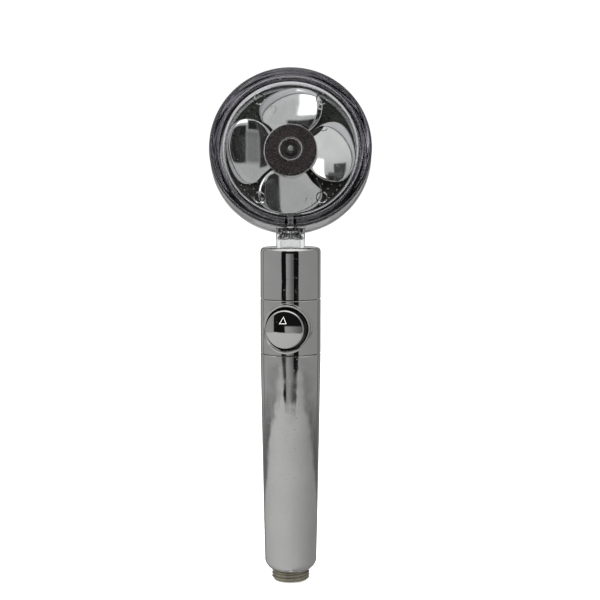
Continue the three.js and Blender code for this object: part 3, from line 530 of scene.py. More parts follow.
def hub_plastic(name):
    """Dark brown-black moulding with fine turned rings and radial scuffs."""
    m = Surface(name)
    distance, angle = m.polar(HEAD_AXIS)
    fan_out = m.add("ShaderNodeCombineXYZ")
    m.feed(fan_out, (m.product(distance, 120), m.product(angle, 2.2)))
    scuffs = m.noise(9, 4, roughness=0.65, place=fan_out.outputs[0])
    speckle = m.noise(1500, 5, roughness=0.7)
    grain = m.math("ADD", m.product(scuffs, 0.6), m.product(speckle, 0.4))
    m.color(m.tint(m.span(grain, 0.48, 0.64), (0.002, 0.0015, 0.0015), (0.16, 0.105, 0.11)))
    m.roughness(m.span(scuffs, 0.3, 0.7, 0.22, 0.45))
    m.bump(grain, 0.00005)
    return m.material


BUTTON_PROUD = 4.5
BUTTON_BEAD = 0.95
CHROME = chrome("chrome_plating")
BUTTON_CHROME = button_chrome_shaded_skirt("button_chrome_shaded_skirt")
BLADE_CHROME = chrome("blade_chrome", 0.7, (0.86, 0.86, 0.85))
CLEAR = clear_plastic("clear_plastic")
BLACK = moulded("black_plastic", (0.012, 0.013, 0.010), (0.026, 0.028, 0.022), 0.4)
WHITE = moulded("white_plastic", (0.72, 0.71, 0.68), (0.82, 0.81, 0.78), 0.45)
RUBBER = moulded("rubber", (0.012, 0.012, 0.012), (0.03, 0.03, 0.03), 0.7, 1500, 0.00004)
NICKEL = turned_metal("nickel_brass", (0.46, 0.43, 0.34), (0.72, 0.69, 0.61), 0.27)
STEEL = turned_metal("stainless", (0.52, 0.52, 0.5), (0.68, 0.68, 0.66), 0.24, (1, 1, 1))
PLATE = brushed_plate("stainless_plate")
HUB = hub_plastic("hub_plastic")


def finish_piece(obj, body, material, slot, *nodes):
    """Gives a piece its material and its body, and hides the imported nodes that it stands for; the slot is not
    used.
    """
    obj.data.materials.clear()
    obj.data.materials.append(material)
    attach(obj, body)
    if nodes:
        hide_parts(*nodes)
    return obj


# ------------------------------------------------------------------ hose inlet
THREAD_RADIUS = 10.478
THREAD_PITCH = 1.814
THREAD_DEPTH = 1.162
THREAD_START = 0.2
THREAD_ROWS = 56
RIDGE_HEIGHT = 1.35  # where a ridge's flanks would meet, as a share of the depth; the crest is cut off at 1
RIDGE_SLOPE = 3.4
FADE_IN = 1.0
FADE_OUT = 0.8
BORE_RADIUS = 6.5
INLET_SPIGOT_RADIUS = 8.0
INLET_SEAT = GRIP_START + 6.7


def limited(value):
    return min(1.0, max(0.0, value))


def thread_radius(r, z, angle):
    """Radius of a right-hand thread with rounded crests and roots, faded out at both ends."""
    end = GRIP_START + THREAD_START
    if not THREAD_START < z < end + THREAD_START or r < THREAD_RADIUS - 2 * THREAD_DEPTH:
        return r
    phase = (z / THREAD_PITCH - angle / (2 * math.pi)) % 1.0
    ridge = limited(RIDGE_HEIGHT - RIDGE_SLOPE * abs(phase - 0.5))
    fade = limited((z - THREAD_START) / FADE_IN) * limited((end - z) / FADE_OUT)
    return THREAD_RADIUS - THREAD_DEPTH + THREAD_DEPTH * ridge * fade


def inlet_connector():
    root = THREAD_RADIUS - THREAD_DEPTH
    top = top_of("inlet_connector")
    flange = size_of("inlet_connector", 0) / 2
    mouth = [(BORE_RADIUS, 0.5), (BORE_RADIUS + 0.12, 0.18), (BORE_RADIUS + 0.4, 0.0)]
    edge = [(root - 0.45, 0.0), (root - 0.12, 0.1), (root, THREAD_START)]
    rise = (GRIP_START + THREAD_START) / THREAD_ROWS
    thread = [(root, THREAD_START + rise * i) for i in range(1, THREAD_ROWS + 1)]
    flange_rim = [(root, INLET_SEAT), (flange, INLET_SEAT), (flange, top)]
    spigot = [(INLET_SPIGOT_RADIUS, top), (INLET_SPIGOT_RADIUS, INLET_SEAT), (BORE_RADIUS, INLET_SEAT)]
    outline = mouth + edge + thread + flange_rim + spigot
    obj = turned("hose_inlet", outline, sides=120, closed=True, radius_at=thread_radius)
    return finish_piece(obj, "handle", NICKEL, "nickel_brass", "inlet_connector")


# ------------------------------------------------------------------ grip, sleeve, cap
GRIP_FOOT = 5
GRIP_LOWER = (15.1, 34)  # radius, and height above the grip's foot
GRIP_MIDDLE = (15.85, 74)
GRIP_WALL = 2.6
GRIP_FOOT_RADIUS = 14.42
GRIP_FOOT_WALL = 6.4
GRIP_SOCKET = 18
GRIP_BORE = 11.4
GRIP_BORE_START = 22
GRIP_FIT = 0.3
FOOT_STEPS = 12
BARREL_STEPS = 14
SEAM_EDGE = 0.28


def hermite_points(points, steps):
    """A smooth curve through (radius, height) points, as a Catmull-Rom spline."""
    padded = [points[0] * 2 - points[1]] + points + [points[-1] * 2 - points[-2]]
    curve = []
    for a, b, c, d in zip(padded, padded[1:], padded[2:], padded[3:]):
        for k in range(steps):
            t = k / steps
            curve.append(0.5 * (2 * b + (c - a) * t + (2 * a - 5 * b + 4 * c - d) * t * t
                                + (3 * b - 3 * c + d - a) * t ** 3))
    return curve + [points[-1]]


def grip():
    mouth = THREAD_RADIUS + GRIP_FIT
    start = Vector((mouth + GRIP_FIT, GRIP_START))
    shoulder = Vector((GRIP_FOOT_RADIUS, GRIP_START + GRIP_FOOT))
    bulge = Vector((shoulder.x - GRIP_FIT, GRIP_START + GRIP_FOOT / 2))
    barrel = hermite_points([
        shoulder,
        Vector((GRIP_LOWER[0], GRIP_START + GRIP_LOWER[1])),
        Vector((GRIP_MIDDLE[0], GRIP_START + GRIP_MIDDLE[1])),
        Vector((HANDLE_RADIUS, GRIP_TOP - SEAM_EDGE)),
    ], BARREL_STEPS)
    inner = HANDLE_RADIUS - GRIP_WALL
    floor_top = GRIP_START + GRIP_FOOT_WALL
    outline = [(mouth, GRIP_START)] + rolled(start, bulge, shoulder, FOOT_STEPS)
    outline += [tuple(point) for point in barrel[1:]]
    outline += [(HANDLE_RADIUS - SEAM_EDGE, GRIP_TOP), (inner, GRIP_TOP), (inner, GRIP_TOP - GRIP_SOCKET)]
    outline += [(GRIP_BORE, GRIP_START + GRIP_BORE_START), (GRIP_BORE, floor_top), (mouth, floor_top)]
    obj = turned("grip", outline, sides=192, closed=True)
    return finish_piece(obj, "handle", CHROME, "chrome_plating", "grip_tube")


ROUND_TOLERANCE = 0.02


def radial_normals(obj, radius):
    """Gives faces that lie on a round of this radius about Z the exact normals of that round."""
    mesh = obj.data
    normals = [Vector(n.vector) for n in mesh.corner_normals]
    for face in mesh.polygons:
        points = [mesh.vertices[v].co for v in face.vertices]
        if all(abs(math.hypot(p.x, p.y) / MM - radius) < ROUND_TOLERANCE for p in points):
            for loop in face.loop_indices:
                p = mesh.vertices[mesh.loops[loop].vertex_index].co
                normals[loop] = Vector((p.x, p.y, 0)).normalized()
    mesh.normals_split_custom_set(normals)


BEZEL_INNER = 11.6
BEZEL_OUTER = 13.8
BEZEL_BARREL = 12.9
BEZEL_BACK = 9.0
BEZEL_CREST = 0.88
BEZEL_FOOT = 0.06
BEZEL_SIDES = 160
SLEEVE_WALL = 2
SLEEVE_HOLE = BEZEL_BARREL + 0.3
HOLE_REACH = 30


def sleeve():
    inner = HANDLE_RADIUS - SLEEVE_WALL
    edge = HANDLE_RADIUS - SEAM_EDGE
    outline = [
        (inner, SLEEVE_BOTTOM), (edge, SLEEVE_BOTTOM), (HANDLE_RADIUS, SLEEVE_BOTTOM + SEAM_EDGE),
        (HANDLE_RADIUS, SLEEVE_TOP - SEAM_EDGE), (edge, SLEEVE_TOP), (inner, SLEEVE_TOP),
    ]
    obj = turned("switch_housing", outline, sides=240, closed=True)
    cut = [(0, 0), (SLEEVE_HOLE, 0), (SLEEVE_HOLE, HOLE_REACH), (0, HOLE_REACH)]
    hole = turned("hole", cut, BUTTON_AXIS, 96)
    combine(obj, hole, "DIFFERENCE")
    radial_normals(obj, HANDLE_RADIUS)
    return finish_piece(obj, "handle", CHROME, "chrome_plating", "switch_sleeve")


def bezel():
    """The trim ring: a section carried round the button's axis, its crest following the handle's round."""
    crest = [
        (BEZEL_OUTER, BEZEL_FOOT), (BEZEL_OUTER, 0.42), (BEZEL_OUTER - 0.1, 0.68),
        (BEZEL_OUTER - 0.34, 0.82), (12.95, BEZEL_CREST), (12.75, 0.72), (12.55, BEZEL_CREST), (12.1, BEZEL_CREST),
        (11.85, 0.78), (11.68, 0.55), (BEZEL_INNER, 0.2),
    ]
    sections = []
    for i in range(BEZEL_SIDES):
        angle = 2 * math.pi * i / BEZEL_SIDES
        section = []
        for r, lift in crest:
            across = r * math.cos(angle)
            rise = math.sqrt((HANDLE_RADIUS + lift) ** 2 - across ** 2)
            section.append((across, r * math.sin(angle), rise))
        for r in (BEZEL_INNER, BEZEL_BARREL):
            section.append((r * math.cos(angle), r * math.sin(angle), BEZEL_BACK))
        across = BEZEL_BARREL * math.cos(angle)
        rise = math.sqrt((HANDLE_RADIUS + BEZEL_FOOT) ** 2 - across ** 2)
        section.append((across, BEZEL_BARREL * math.sin(angle), rise))
        sections.append(section)
    obj = lofted("button_bezel", sections, BUTTON_AXIS, True)
    return finish_piece(obj, "handle", CHROME, "chrome_plating", "bezel_ring")


NECK_HOLE = 8.3
CAP_CORNER = 2.9
CAP_WALL = 2.8
CAP_INNER = 14.1


def cap():
    ceiling = CAP_TOP - CAP_WALL
    outline = rounded([
        (HANDLE_RADIUS - SEAM_EDGE, CAP_BOTTOM), (HANDLE_RADIUS, CAP_BOTTOM + SEAM_EDGE),
        (HANDLE_RADIUS, CAP_TOP, CAP_CORNER), (NECK_HOLE, CAP_TOP, 0.3),
        (NECK_HOLE, ceiling), (CAP_INNER, ceiling), (CAP_INNER, CAP_BOTTOM),
    ], 12)
    obj = turned("upper_cap", outline, sides=192, closed=True)
    return finish_piece(obj, "handle", CHROME, "chrome_plating", "handle_cap")


# ------------------------------------------------------------------ button
BUTTON_FACE = 10.4
BUTTON_SKIRT = 11.3
BUTTON_REACH = HANDLE_RADIUS + BUTTON_PROUD
BUTTON_DOME = 1.38
BUTTON_BACK = 10.6
BUTTON_CEILING = BUTTON_REACH - 1.6
BUTTON_SKIRT_INNER = 9.0
DOME_EDGE = 9.35
DOME_RINGS = (0, 1, 2, 3, 4, 5, 6, 7, 8, 8.7, 9.2)
STEM_SOCKET = (3.3, 15)  # radius and floor of the blind hole for the stem
STEM_COLLAR = 4.6


def dome_height(distance):
    return BUTTON_REACH + BUTTON_DOME * (1 - (distance / BUTTON_FACE) ** 2)


def dome_rim():
    """The face's edge, rolled over from the dome to the side."""
    start = Vector((DOME_EDGE, dome_height(DOME_EDGE)))
    corner = Vector((BUTTON_FACE - 0.02, BUTTON_REACH + 0.12))
    end = Vector((BUTTON_FACE, BUTTON_REACH - 0.85))
    return rolled(start, corner, end, 7)


def button():
    face = [(r, dome_height(r)) for r in DOME_RINGS]
    neck = BUTTON_FACE - 0.7
    side = [
        (BUTTON_FACE - 0.15, BUTTON_REACH - 1.0), (neck, BUTTON_REACH - 1.15), (neck, HANDLE_RADIUS - 1.2),
        (BUTTON_SKIRT, HANDLE_RADIUS - 1.4), (BUTTON_SKIRT, BUTTON_BACK),
    ]
    hollow = [
        (10.0, BUTTON_BACK), (BUTTON_SKIRT_INNER, BUTTON_CEILING), (STEM_COLLAR, BUTTON_CEILING),
        (STEM_COLLAR, BUTTON_BACK), (STEM_SOCKET[0], BUTTON_BACK), STEM_SOCKET, (0, STEM_SOCKET[1]),
    ]
    obj = turned("push_button", face + dome_rim() + side + hollow, BUTTON_AXIS, 160)
    return finish_piece(obj, "button", BUTTON_CHROME, "chrome_plating", "button")


MARK_CENTRE = Vector((-0.75, 4.9))
MARK_CORNERS = ((0.35, 2.3), (-2.1, -1.75), (2.1, -1.75))
MARK_LIFT = 0.1
MARK_STEPS = 8  # along each side
# The outline's cross-section: a share of the way out from the middle, and a share of the lift.
MARK_SECTION = ((1.0, -0.1), (1.0, 0.6), (0.93, 1.0), (0.80, 1.0), (0.73, 0.6), (0.73, -0.1))


def button_mark():
    """A small raised triangle outline near the top of the button's face."""
    corners = [MARK_CENTRE + Vector(corner) for corner in MARK_CORNERS]
    middle = sum(corners, Vector((0, 0))) / len(corners)
    bm = bmesh.new()
    rows = []
    for share, height in MARK_SECTION:
        row = []
        for start, end in zip(corners, corners[1:] + corners[:1]):
            for k in range(MARK_STEPS):
                p = middle + (start.lerp(end, k / MARK_STEPS) - middle) * share
                rise = dome_height(p.length) + height * MARK_LIFT
                row.append(bm.verts.new((p.x * MM, p.y * MM, rise * MM)))
        rows.append(row)
    for low, high in zip(rows, rows[1:] + rows[:1]):
        join_rows(bm, low, high, len(low))
    obj = add_object("button_mark", mesh_from("button_mark", bm), BUTTON_AXIS)
    return finish_piece(obj, "button", WHITE, "white_plastic")


# ------------------------------------------------------------------ head
RIM = 12.0
RIM_INNER = HEAD_RADIUS - 5.2
WINDOW_TOP = 9.5
WINDOW_BOTTOM = 6.5
CAVITY = HEAD_RADIUS - 7.2
SHELL_EDGE = -7.2
SPIGOT_END = -11.5
HUB_TOP = 1.0
BOSS = 6.0
NECK = 8.0
NECK_BORE = 5.3
CHANNEL = 3.3
PIN_HOLE = 1.8
BOSS_BOTTOM = 1.4
SPIGOT_RADIUS = HEAD_RADIUS - 2.6
PAD_CIRCLE = 32.3
PAD_ANGLES = (58, 122, 238, 302)
PAD_OUTLINE = [(0, 6.02), (2.65, 6.02), (3.28, 6.52), (3.28, 7.2), (0, 7.2)]
NECK_ROOT = 3.6  # how far the neck runs into the rim
CHANNEL_END = 9.2


def shell():
    cup = turned("clear_shell", rounded([
        (0, 5.9), (PIN_HOLE, 5.9), (PIN_HOLE, BOSS_BOTTOM, 0.2), (BOSS, BOSS_BOTTOM, 0.7),
        (BOSS, WINDOW_BOTTOM, 1.2), (CAVITY, WINDOW_BOTTOM, 1.4), (CAVITY + 0.8, SPIGOT_END, 0.3),
        (SPIGOT_RADIUS, SPIGOT_END, 0.5), (SPIGOT_RADIUS, SHELL_EDGE, 0.3), (HEAD_RADIUS, SHELL_EDGE, 0.4),
        (HEAD_RADIUS, RIM, 2.6), (RIM_INNER, RIM, 0.7), (RIM_INNER, WINDOW_TOP, 0.5), (0, WINDOW_TOP),
    ], 8), HEAD_AXIS, 192)
    head_bottom = HEAD_AXIS.translation.z / MM - HEAD_RADIUS
    low = bottom_of("head_shell")
    root = head_bottom + NECK_ROOT
    neck = turned("neck", rounded([(0, low), (NECK, low, 0.4), (NECK, root), (0, root)]), HANDLE_AXIS, 96)
    combine(cup, neck, "UNION")
    for angle in PAD_ANGLES:
        turn = math.radians(angle)
        spot = Vector((PAD_CIRCLE * math.cos(turn), PAD_CIRCLE * math.sin(turn), 0)) * MM
        pad = turned("pad", PAD_OUTLINE, HEAD_AXIS @ Matrix.Translation(spot), 48)
        combine(cup, pad, "UNION")
    dome = head_bottom - NECK_BORE
    bore = turned("bore", [
        (0, low - 1), (NECK_BORE, low - 1), (NECK_BORE, dome), (NECK_BORE * 0.97, dome + 1.4),
        (NECK_BORE * 0.88, dome + 2.8), (CHANNEL + 0.5, dome + 4.3), (CHANNEL, dome + 5.6),
        (CHANNEL, head_bottom + CHANNEL_END), (0, head_bottom + CHANNEL_END),
    ], HANDLE_AXIS, 64)
    combine(cup, bore, "DIFFERENCE")
    return finish_piece(cup, "head", CLEAR, "clear_plastic", "head_shell")


def spray_ring():
    outer = size_of("spray_ring", 0) / 2
    inner = HEAD_RADIUS - 2.3
    obj = turned("face_ring", rounded([
        (inner - 4.5, -14.0, 0.25), (outer - 1.4, -14.0, 0.8), (outer, -11.7, 0.8), (outer, -7.8, 0.9),
        (inner, -7.8, 0.1), (inner, -13.1), (inner - 4.8, -13.1),
    ], 6), HEAD_AXIS, 192, closed=True)
    return finish_piece(obj, "head", CHROME, "chrome_plating", "spray_ring")


HOLE_START = 8.0
HOLE_RING_STEP = 4.133
HOLE_SPACING = 3.12
HOLE_CIRCLES = [HOLE_START + HOLE_RING_STEP * i for i in range(7)]
HOLE_RINGS = [(circle, round(2 * math.pi * circle / HOLE_SPACING)) for circle in HOLE_CIRCLES]
PLATE_RADIUS = HEAD_RADIUS - 2.8
BACKING_RADIUS = 36.1


def spray_plate():
    obj = perforated_disc("spray_face", PLATE_RADIUS, 1.5, -12.8, -11.8, HOLE_RINGS, 0.5)
    return finish_piece(obj, "head", PLATE, "stainless", "spray_plate")


def backing():
    disc = perforated_disc("fan_floor", BACKING_RADIUS, PIN_HOLE, -8.9, -8.0, HOLE_RINGS, 0.55)
    finish_piece(disc, "head", BLACK, "black_plastic", "plate_backing")
    rim = turned("fan_floor_rim", rounded([
        (34.6, -11.5), (36.2, -11.5), (36.2, -7.8, 0.4), (35.2, -7.8, 0.4), (35.2, -9.9), (34.6, -9.9),
    ]), HEAD_AXIS, 180, closed=True)
    return finish_piece(rim, "head", BLACK, "black_plastic")


# ------------------------------------------------------------------ fan
BLADE_TIP = 35.7
BLADE_WIDEST = 24.5
BLADE_ROOT = 8.0
BLADE_HALF_WIDTH = 17.7
BLADE_SWEEP = 2.4
BLADE_THICKNESS = 1.1
BLADE_MIDDLE = -1.9
BLADE_RISE = 3.6
BLADE_CROWN = 1.3
BLADE_BOW = 0.9
BLADE_BOW_AT = 22
BLADE_BOW_SPAN = 12
BLADE_ROWS = 44
BLADE_AROUND = 56
BLADE_EDGE = 0.6  # below 1, squares the section off towards a rounded strip
BLADES = 4
HUB_RADIUS = 14.8
HUB_BOTTOM = -6.8
HUB_PLATE = HUB_TOP - 3.4
HUB_CORE = 13.5


def blade_height(x, distance):
    """Height of the blade's middle surface, a pitched sheet that bulges towards the window."""
    across = x / BLADE_HALF_WIDTH
    along = (distance - BLADE_BOW_AT) / BLADE_BOW_SPAN
    return BLADE_MIDDLE + BLADE_RISE * across - BLADE_CROWN * across ** 2 - BLADE_BOW * along ** 2


def blade_sections():
    """Cross-sections of one blade along its length, each a flat loop with rounded edges."""
    sections = []
    for k in range(BLADE_ROWS + 1):
        along = 0.5 - 0.5 * math.cos(math.pi * (0.03 + 0.965 * k / BLADE_ROWS))
        distance = BLADE_ROOT + (BLADE_TIP - BLADE_ROOT) * along
        outward = distance > BLADE_WIDEST
        reach = BLADE_TIP - BLADE_WIDEST if outward else BLADE_WIDEST - BLADE_ROOT
        share = abs(distance - BLADE_WIDEST) / reach
        half = BLADE_HALF_WIDTH * math.sqrt(max(0.0, 1 - share ** 2))
        sweep = BLADE_SWEEP * share ** 2 if outward else 0
        section = []
        for i in range(BLADE_AROUND):
            turn = 2 * math.pi * i / BLADE_AROUND
            x = half * squared(math.cos(turn)) + sweep
            thick = BLADE_THICKNESS / 2 * squared(math.sin(turn))
            section.append((x, distance, blade_height(x, distance) + thick))
        sections.append(section)
    return sections


def squared(value):
    return math.copysign(abs(value) ** BLADE_EDGE, value)


def fan():
    hub = turned("fan_hub", rounded([
        (3.3, HUB_BOTTOM), (4.8, HUB_BOTTOM), (4.8, HUB_PLATE), (13.2, HUB_PLATE), (13.2, HUB_BOTTOM, 0.3),
        (HUB_RADIUS, HUB_BOTTOM, 0.4), (HUB_RADIUS, HUB_TOP, 0.2), (14.36, HUB_TOP, 0.1),
        (14.36, -0.9), (3.3, -0.9),
    ]), HEAD_AXIS, 120, closed=True)
    core = [(0, HUB_BOTTOM - 2), (HUB_CORE, HUB_BOTTOM - 2), (HUB_CORE, HUB_TOP + 2), (0, HUB_TOP + 2)]
    for i in range(BLADES):
        turn = HEAD_AXIS @ Matrix.Rotation(2 * math.pi * i / BLADES, 4, "Z")
        blade = lofted("blade", blade_sections(), turn, False, 50)
        combine(blade, turned("core", core, HEAD_AXIS, 96), "DIFFERENCE")
        combine(hub, blade, "UNION")
    shade(hub.data, 40)
    return finish_piece(hub, "fan", BLADE_CHROME, "chrome_plating", "fan_rotor")


RIDGE_START = 6.9
RIDGE_STEP = 0.62
RIDGES_END = 13.6


def hub_disc():
    """The dark disc, with fine turned ridges round a plain middle."""
    ridges = []
    r = RIDGE_START
    while r < RIDGES_END:
        ridges += [(r, 0.80), (r + 0.22, 0.88), (r + 0.44, 0.80)]
        r += RIDGE_STEP
    outline = [(3.5, -0.6), (3.5, 0.62), (3.7, 0.75), (6.5, 0.75)] + ridges
    outline += [(14.1, 0.84), (14.28, 0.7), (14.3, -0.6)]
    obj = turned("hub_disc", outline, HEAD_AXIS, 144, closed=True, sharp=60)
    return finish_piece(obj, "fan", HUB, "hub_plastic", "hub_cap")


def pin():
    outline = rounded([(0, -8.9), (1.5, -8.9, 0.3), (1.5, 5.6, 0.45), (0, 5.6)])
    obj = turned("fan_axle", outline, HEAD_AXIS, 48)
    return finish_piece(obj, "head", STEEL, "stainless", "axle_pin")


def screw():
    obj = turned("face_screw", rounded([
        (0, -14.0), (1.1, -14.0, 0.2), (1.1, -13.6), (1.5, -13.6), (1.5, -14.0, 0.2), (2.6, -13.9, 0.3),
        (3.0, -13.1, 0.2), (1.2, -13.1), (1.2, -10.4, 0.3), (0, -10.4),
    ]), HEAD_AXIS, 64)
    return finish_piece(obj, "head", STEEL, "stainless", "plate_screw")


# ------------------------------------------------------------------ return spring
SPRING_WIRE = 0.8
SPRING_TURNS = 6
SPRING_CLOSED = 0.75  # turns that lie flat at each end
SPRING_STEPS = 36  # along one turn
SPRING_SIDES = 12


def spring():
    """The return spring, with closed ends."""
    to_button = BUTTON_AXIS.inverted()
    shape = [to_button @ vertex.co / MM for vertex in frame["nodes"]["return_spring"].data.vertices]
    seat = min(point.z for point in shape)
    length = max(point.z for point in shape) - seat
    coil = max(point.xy.length for point in shape) - SPRING_WIRE / 2
    open_rise = length - SPRING_WIRE * (1 + 2 * SPRING_CLOSED)
    open_turns = SPRING_TURNS - 2 * SPRING_CLOSED
    sections = []
    for i in range(SPRING_TURNS * SPRING_STEPS + 1):
        turn = i / SPRING_STEPS
        in_open = min(max(turn - SPRING_CLOSED, 0), open_turns)
        height = seat + SPRING_WIRE / 2 + SPRING_WIRE * (turn - in_open) + open_rise * in_open / open_turns
        section = []
        for k in range(SPRING_SIDES):
            around = 2 * math.pi * k / SPRING_SIDES
            reach = coil + SPRING_WIRE / 2 * math.cos(around)
            rise = SPRING_WIRE / 2 * math.sin(around)
            angle = 2 * math.pi * turn
            section.append((reach * math.cos(angle), reach * math.sin(angle), height + rise))
        sections.append(section)
    obj = lofted("return_coil", sections, BUTTON_AXIS, False)
    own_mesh(obj)
    return finish_piece(obj, "handle", STEEL, "stainless", "return_spring")


inlet_connector()
grip()
sleeve()
bezel()
cap()
button()
button_mark()
shell()
spray_ring()
spray_plate()
backing()
fan()
hub_disc()
pin()
screw()
spring()

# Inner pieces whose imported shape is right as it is.
CARRIED = {
    "inlet_screen": STEEL, "flow_restrictor": WHITE, "connector_o_ring": RUBBER, "grip_o_ring": RUBBER,
    "valve_body": WHITE, "neck_washer": WHITE, "gland_nut": WHITE, "neck_clip": STEEL,
    "neck_o_ring_lower": RUBBER, "neck_o_ring_upper": RUBBER, "face_seal": RUBBER,
    # fan_bushing is painted black instead of its own white, as painted shade standing in for the dark reflection
    # at the middle of the window.
    "front_thrust_washer": BLACK, "rear_thrust_washer": BLACK, "fan_bushing": BLACK, "valve_spool": WHITE,
    "spool_o_ring_front": RUBBER, "spool_o_ring_rear": RUBBER,
}
for node, material in CARRIED.items():
    for place in frame["nodes"][node].material_slots:
        place.material = material


# ------------------------------------------------------------------ camera
CAMERA_X = 5.2
CAMERA_Y = -770
CAMERA_Z = 228.6
CAMERA_PITCH = 5.3  # degrees below level
CAMERA_LENS = 84

camera_data = bpy.data.cameras.new("camera")
camera_data.lens = CAMERA_LENS
camera_data.clip_start = 0.02
camera = bpy.data.objects.new("camera", camera_data)
scene.collection.objects.link(camera)
camera.location = Vector((CAMERA_X, CAMERA_Y, CAMERA_Z)) * MM
camera.rotation_euler = (math.radians(90 - CAMERA_PITCH), 0, 0)
scene.camera = camera


# ------------------------------------------------------------------ stage and light
def flat(name, side, place, material):
    bm = bmesh.new()
    half = side / 2
    corners = ((-half, -half), (half, -half), (half, half), (-half, half))
    bm.faces.new([bm.verts.new((x, y, 0)) for x, y in corners])
    mesh = bpy.data.meshes.new(name)
    bm.to_mesh(mesh)
    bm.free()
    mesh.materials.append(material)
    obj = add_object(name, mesh, place)
    return obj


FLOOR_SIDE = 14
FLOOR_DROP = 0.0005
FLOOR_GLOW = 0.72
floor = Surface("floor")
floor.color(floor.tint(floor.noise(8, 3), (0.84, 0.84, 0.84), (0.88, 0.88, 0.88)))
floor.set(Roughness=0.9, Emission_Color=(1, 1, 1, 1), Emission_Strength=FLOOR_GLOW)
floor_plane = flat("floor", FLOOR_SIDE, Matrix.Translation((0, 0, -FLOOR_DROP)), floor.material)
floor_plane.visible_glossy = False
floor_plane.visible_transmission = False


DEGREE = 180 / math.pi
RADIAN = math.pi / 180
CAMERA_WHITE = 1.05


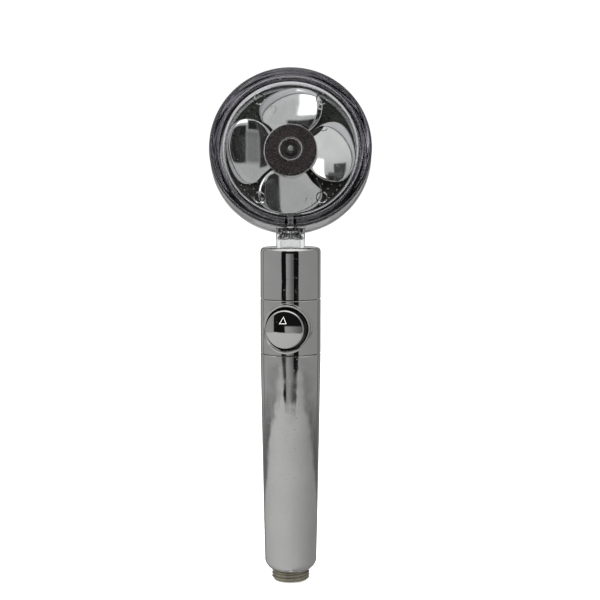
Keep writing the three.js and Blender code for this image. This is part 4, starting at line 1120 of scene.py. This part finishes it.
class Studio(Graph):
    """The room as seen in reflections and through the clear parts, painted by direction.

    Azimuth 0 is in front of the window, towards -Y, and grows towards +X. Angles are in degrees.
    """

    def __init__(self):
        world = bpy.data.worlds.new("studio")
        world.use_nodes = True
        scene.world = world
        super().__init__(world.node_tree)
        self.tree.nodes.clear()
        split = self.add("ShaderNodeSeparateXYZ")
        self.link(self.add("ShaderNodeTexCoord").outputs["Generated"], split.inputs[0])
        x, y, z = split.outputs
        self.azimuth = self.product(self.math("ARCTAN2", x, self.product(y, -1)), DEGREE)
        self.elevation = self.product(self.math("ARCSINE", z), DEGREE)
        self.away = self.math("ABSOLUTE", self.azimuth)

    def band(self, value, low, high, soft):
        rise = self.span(value, low - soft, low + soft)
        fall = self.span(value, high - soft, high + soft, 1, 0)
        return self.product(rise, fall)

    def patch(self, azimuths, elevations, soft=1.0):
        across = self.band(self.azimuth, *azimuths, soft)
        return self.product(across, self.band(self.elevation, *elevations, soft))

    def in_reflections(self):
        """Grey walls, a white floor strip in front, dark flags and a lamp overhead."""
        side_light = self.span(self.azimuth, -130, 130, 0.34, 0.29)
        room = self.blend(self.span(self.elevation, -12.5, -9), self.product(side_light, 0.4), side_light)
        room = self.blend(self.span(self.away, 140, 172), room, 0.42)
        turn = self.math("COSINE", self.product(self.math("ADD", self.azimuth, 50), RADIAN))
        paper = self.math("ADD", 0.40, self.product(turn, 0.13))
        paper = self.blend(self.span(self.away, 136, 152), paper, 0.2)
        paper = self.blend(self.span(self.away, 158, 174), paper, 0.62)
        forward = self.math("COSINE", self.product(self.azimuth, RADIAN))
        edge = self.math("SUBTRACT", -9.8, self.product(self.math("SUBTRACT", 1.0, forward), 2.4))
        below = self.span(self.math("SUBTRACT", edge, self.elevation), -0.5, 0.7)
        room = self.blend(below, room, paper)
        narrowing = self.span(self.elevation, -12, -9.3, 12, 0)
        left = self.math("ADD", self.azimuth, self.product(narrowing, -1))
        right = self.math("ADD", self.azimuth, narrowing)
        flags_end = self.span(self.elevation, -12.2, -10.6)
        for spot, low, high in ((left, -34.5, -16.6), (right, 11.6, 31.4)):
            flag = self.product(self.band(spot, low, high, 0.8), flags_end)
            room = self.blend(flag, room, 0.006)
        strip = self.product(self.band(self.azimuth, -16.2, 11.3, 0.8), flags_end)
        stripe = self.span(self.azimuth, -16, 12, 0.33, 0.12)
        room = self.blend(strip, room, stripe)
        for low, high, tone in ((-130, -124, 0.17), (128, 136, 0.1)):
            room = self.blend(self.product(self.band(self.azimuth, low, high, 1.5), flags_end), room, tone)
        rear = self.product(self.band(self.away, 150, 166, 7), flags_end)
        room = self.blend(rear, room, 0.13)
        dark_front = self.band(self.azimuth, -34.5, 31.4, 0.8)
        room = self.blend(self.product(dark_front, self.band(self.elevation, -1.2, 29, 1.5)), room, 0.008)
        lamp = self.span(self.elevation, 27, 64)
        return self.blend(lamp, room, 1.1)

    def through_clear(self):
        """What the blades mirror out through the window, dark sides, and white behind."""
        left_wall = self.span(self.azimuth, -24, -14, 0.62, 0.5)
        room = self.blend(self.span(self.elevation, 30, 46), left_wall, 0.78)
        room = self.blend(self.span(self.elevation, -12, -7), 0.5, room)
        room = self.blend(self.patch((-26, -6), (-7, 17)), room, 0.02)
        room = self.blend(self.patch((-6, 5), (-7, 12), 2), room, 0.2)
        room = self.blend(self.patch((5, 17), (-10, 38)), room, 0.03)
        room = self.blend(self.patch((-21, -5), (21, 41), 1.5), room, 2.0)
        room = self.blend(self.patch((-1, 13), (27, 31), 1.2), room, 0.08)
        room = self.blend(self.patch((-4.5, 5), (13, 28)), room, 0.015)
        sides = self.span(self.elevation, -6, 14, 0.05, 0.4)
        room = self.blend(self.span(self.away, 42, 52), room, sides)
        return self.blend(self.span(self.away, 112, 128), room, 0.95)

    def finish(self):
        path = self.add("ShaderNodeLightPath")
        seen = self.blend(path.outputs["Is Transmission Ray"], self.in_reflections(), self.through_clear())
        seen = self.blend(path.outputs["Is Camera Ray"], seen, CAMERA_WHITE)
        background = self.add("ShaderNodeBackground")
        background.inputs["Color"].default_value = (1, 1, 1, 1)
        self.link(seen, background.inputs["Strength"])
        output = self.add("ShaderNodeOutputWorld")
        self.link(background.outputs["Background"], output.inputs["Surface"])


Studio().finish()


AIM = Vector((0, 0, 0.16))


def area(name, azimuth, elevation, distance, size, power):
    """A round soft lamp that only lights plain surfaces; what mirrors show comes from the studio."""
    turn, rise = math.radians(azimuth), math.radians(elevation)
    direction = Vector((math.sin(turn) * math.cos(rise), -math.cos(turn) * math.cos(rise), math.sin(rise)))
    spot = AIM + direction * distance
    light = bpy.data.lights.new(name, "AREA")
    light.shape = "DISK"
    light.size = size
    light.energy = power
    obj = bpy.data.objects.new(name, light)
    scene.collection.objects.link(obj)
    obj.location = spot
    obj.rotation_euler = (AIM - spot).to_track_quat("-Z", "Y").to_euler()
    obj.visible_glossy = False
    obj.visible_transmission = False
    return obj


area("key", -55, 50, 1.6, 0.9, 16)
area("fill", 60, 35, 1.8, 1.0, 9)
area("top", 10, 82, 1.5, 1.0, 10)

scene.view_settings.view_transform = "Standard"
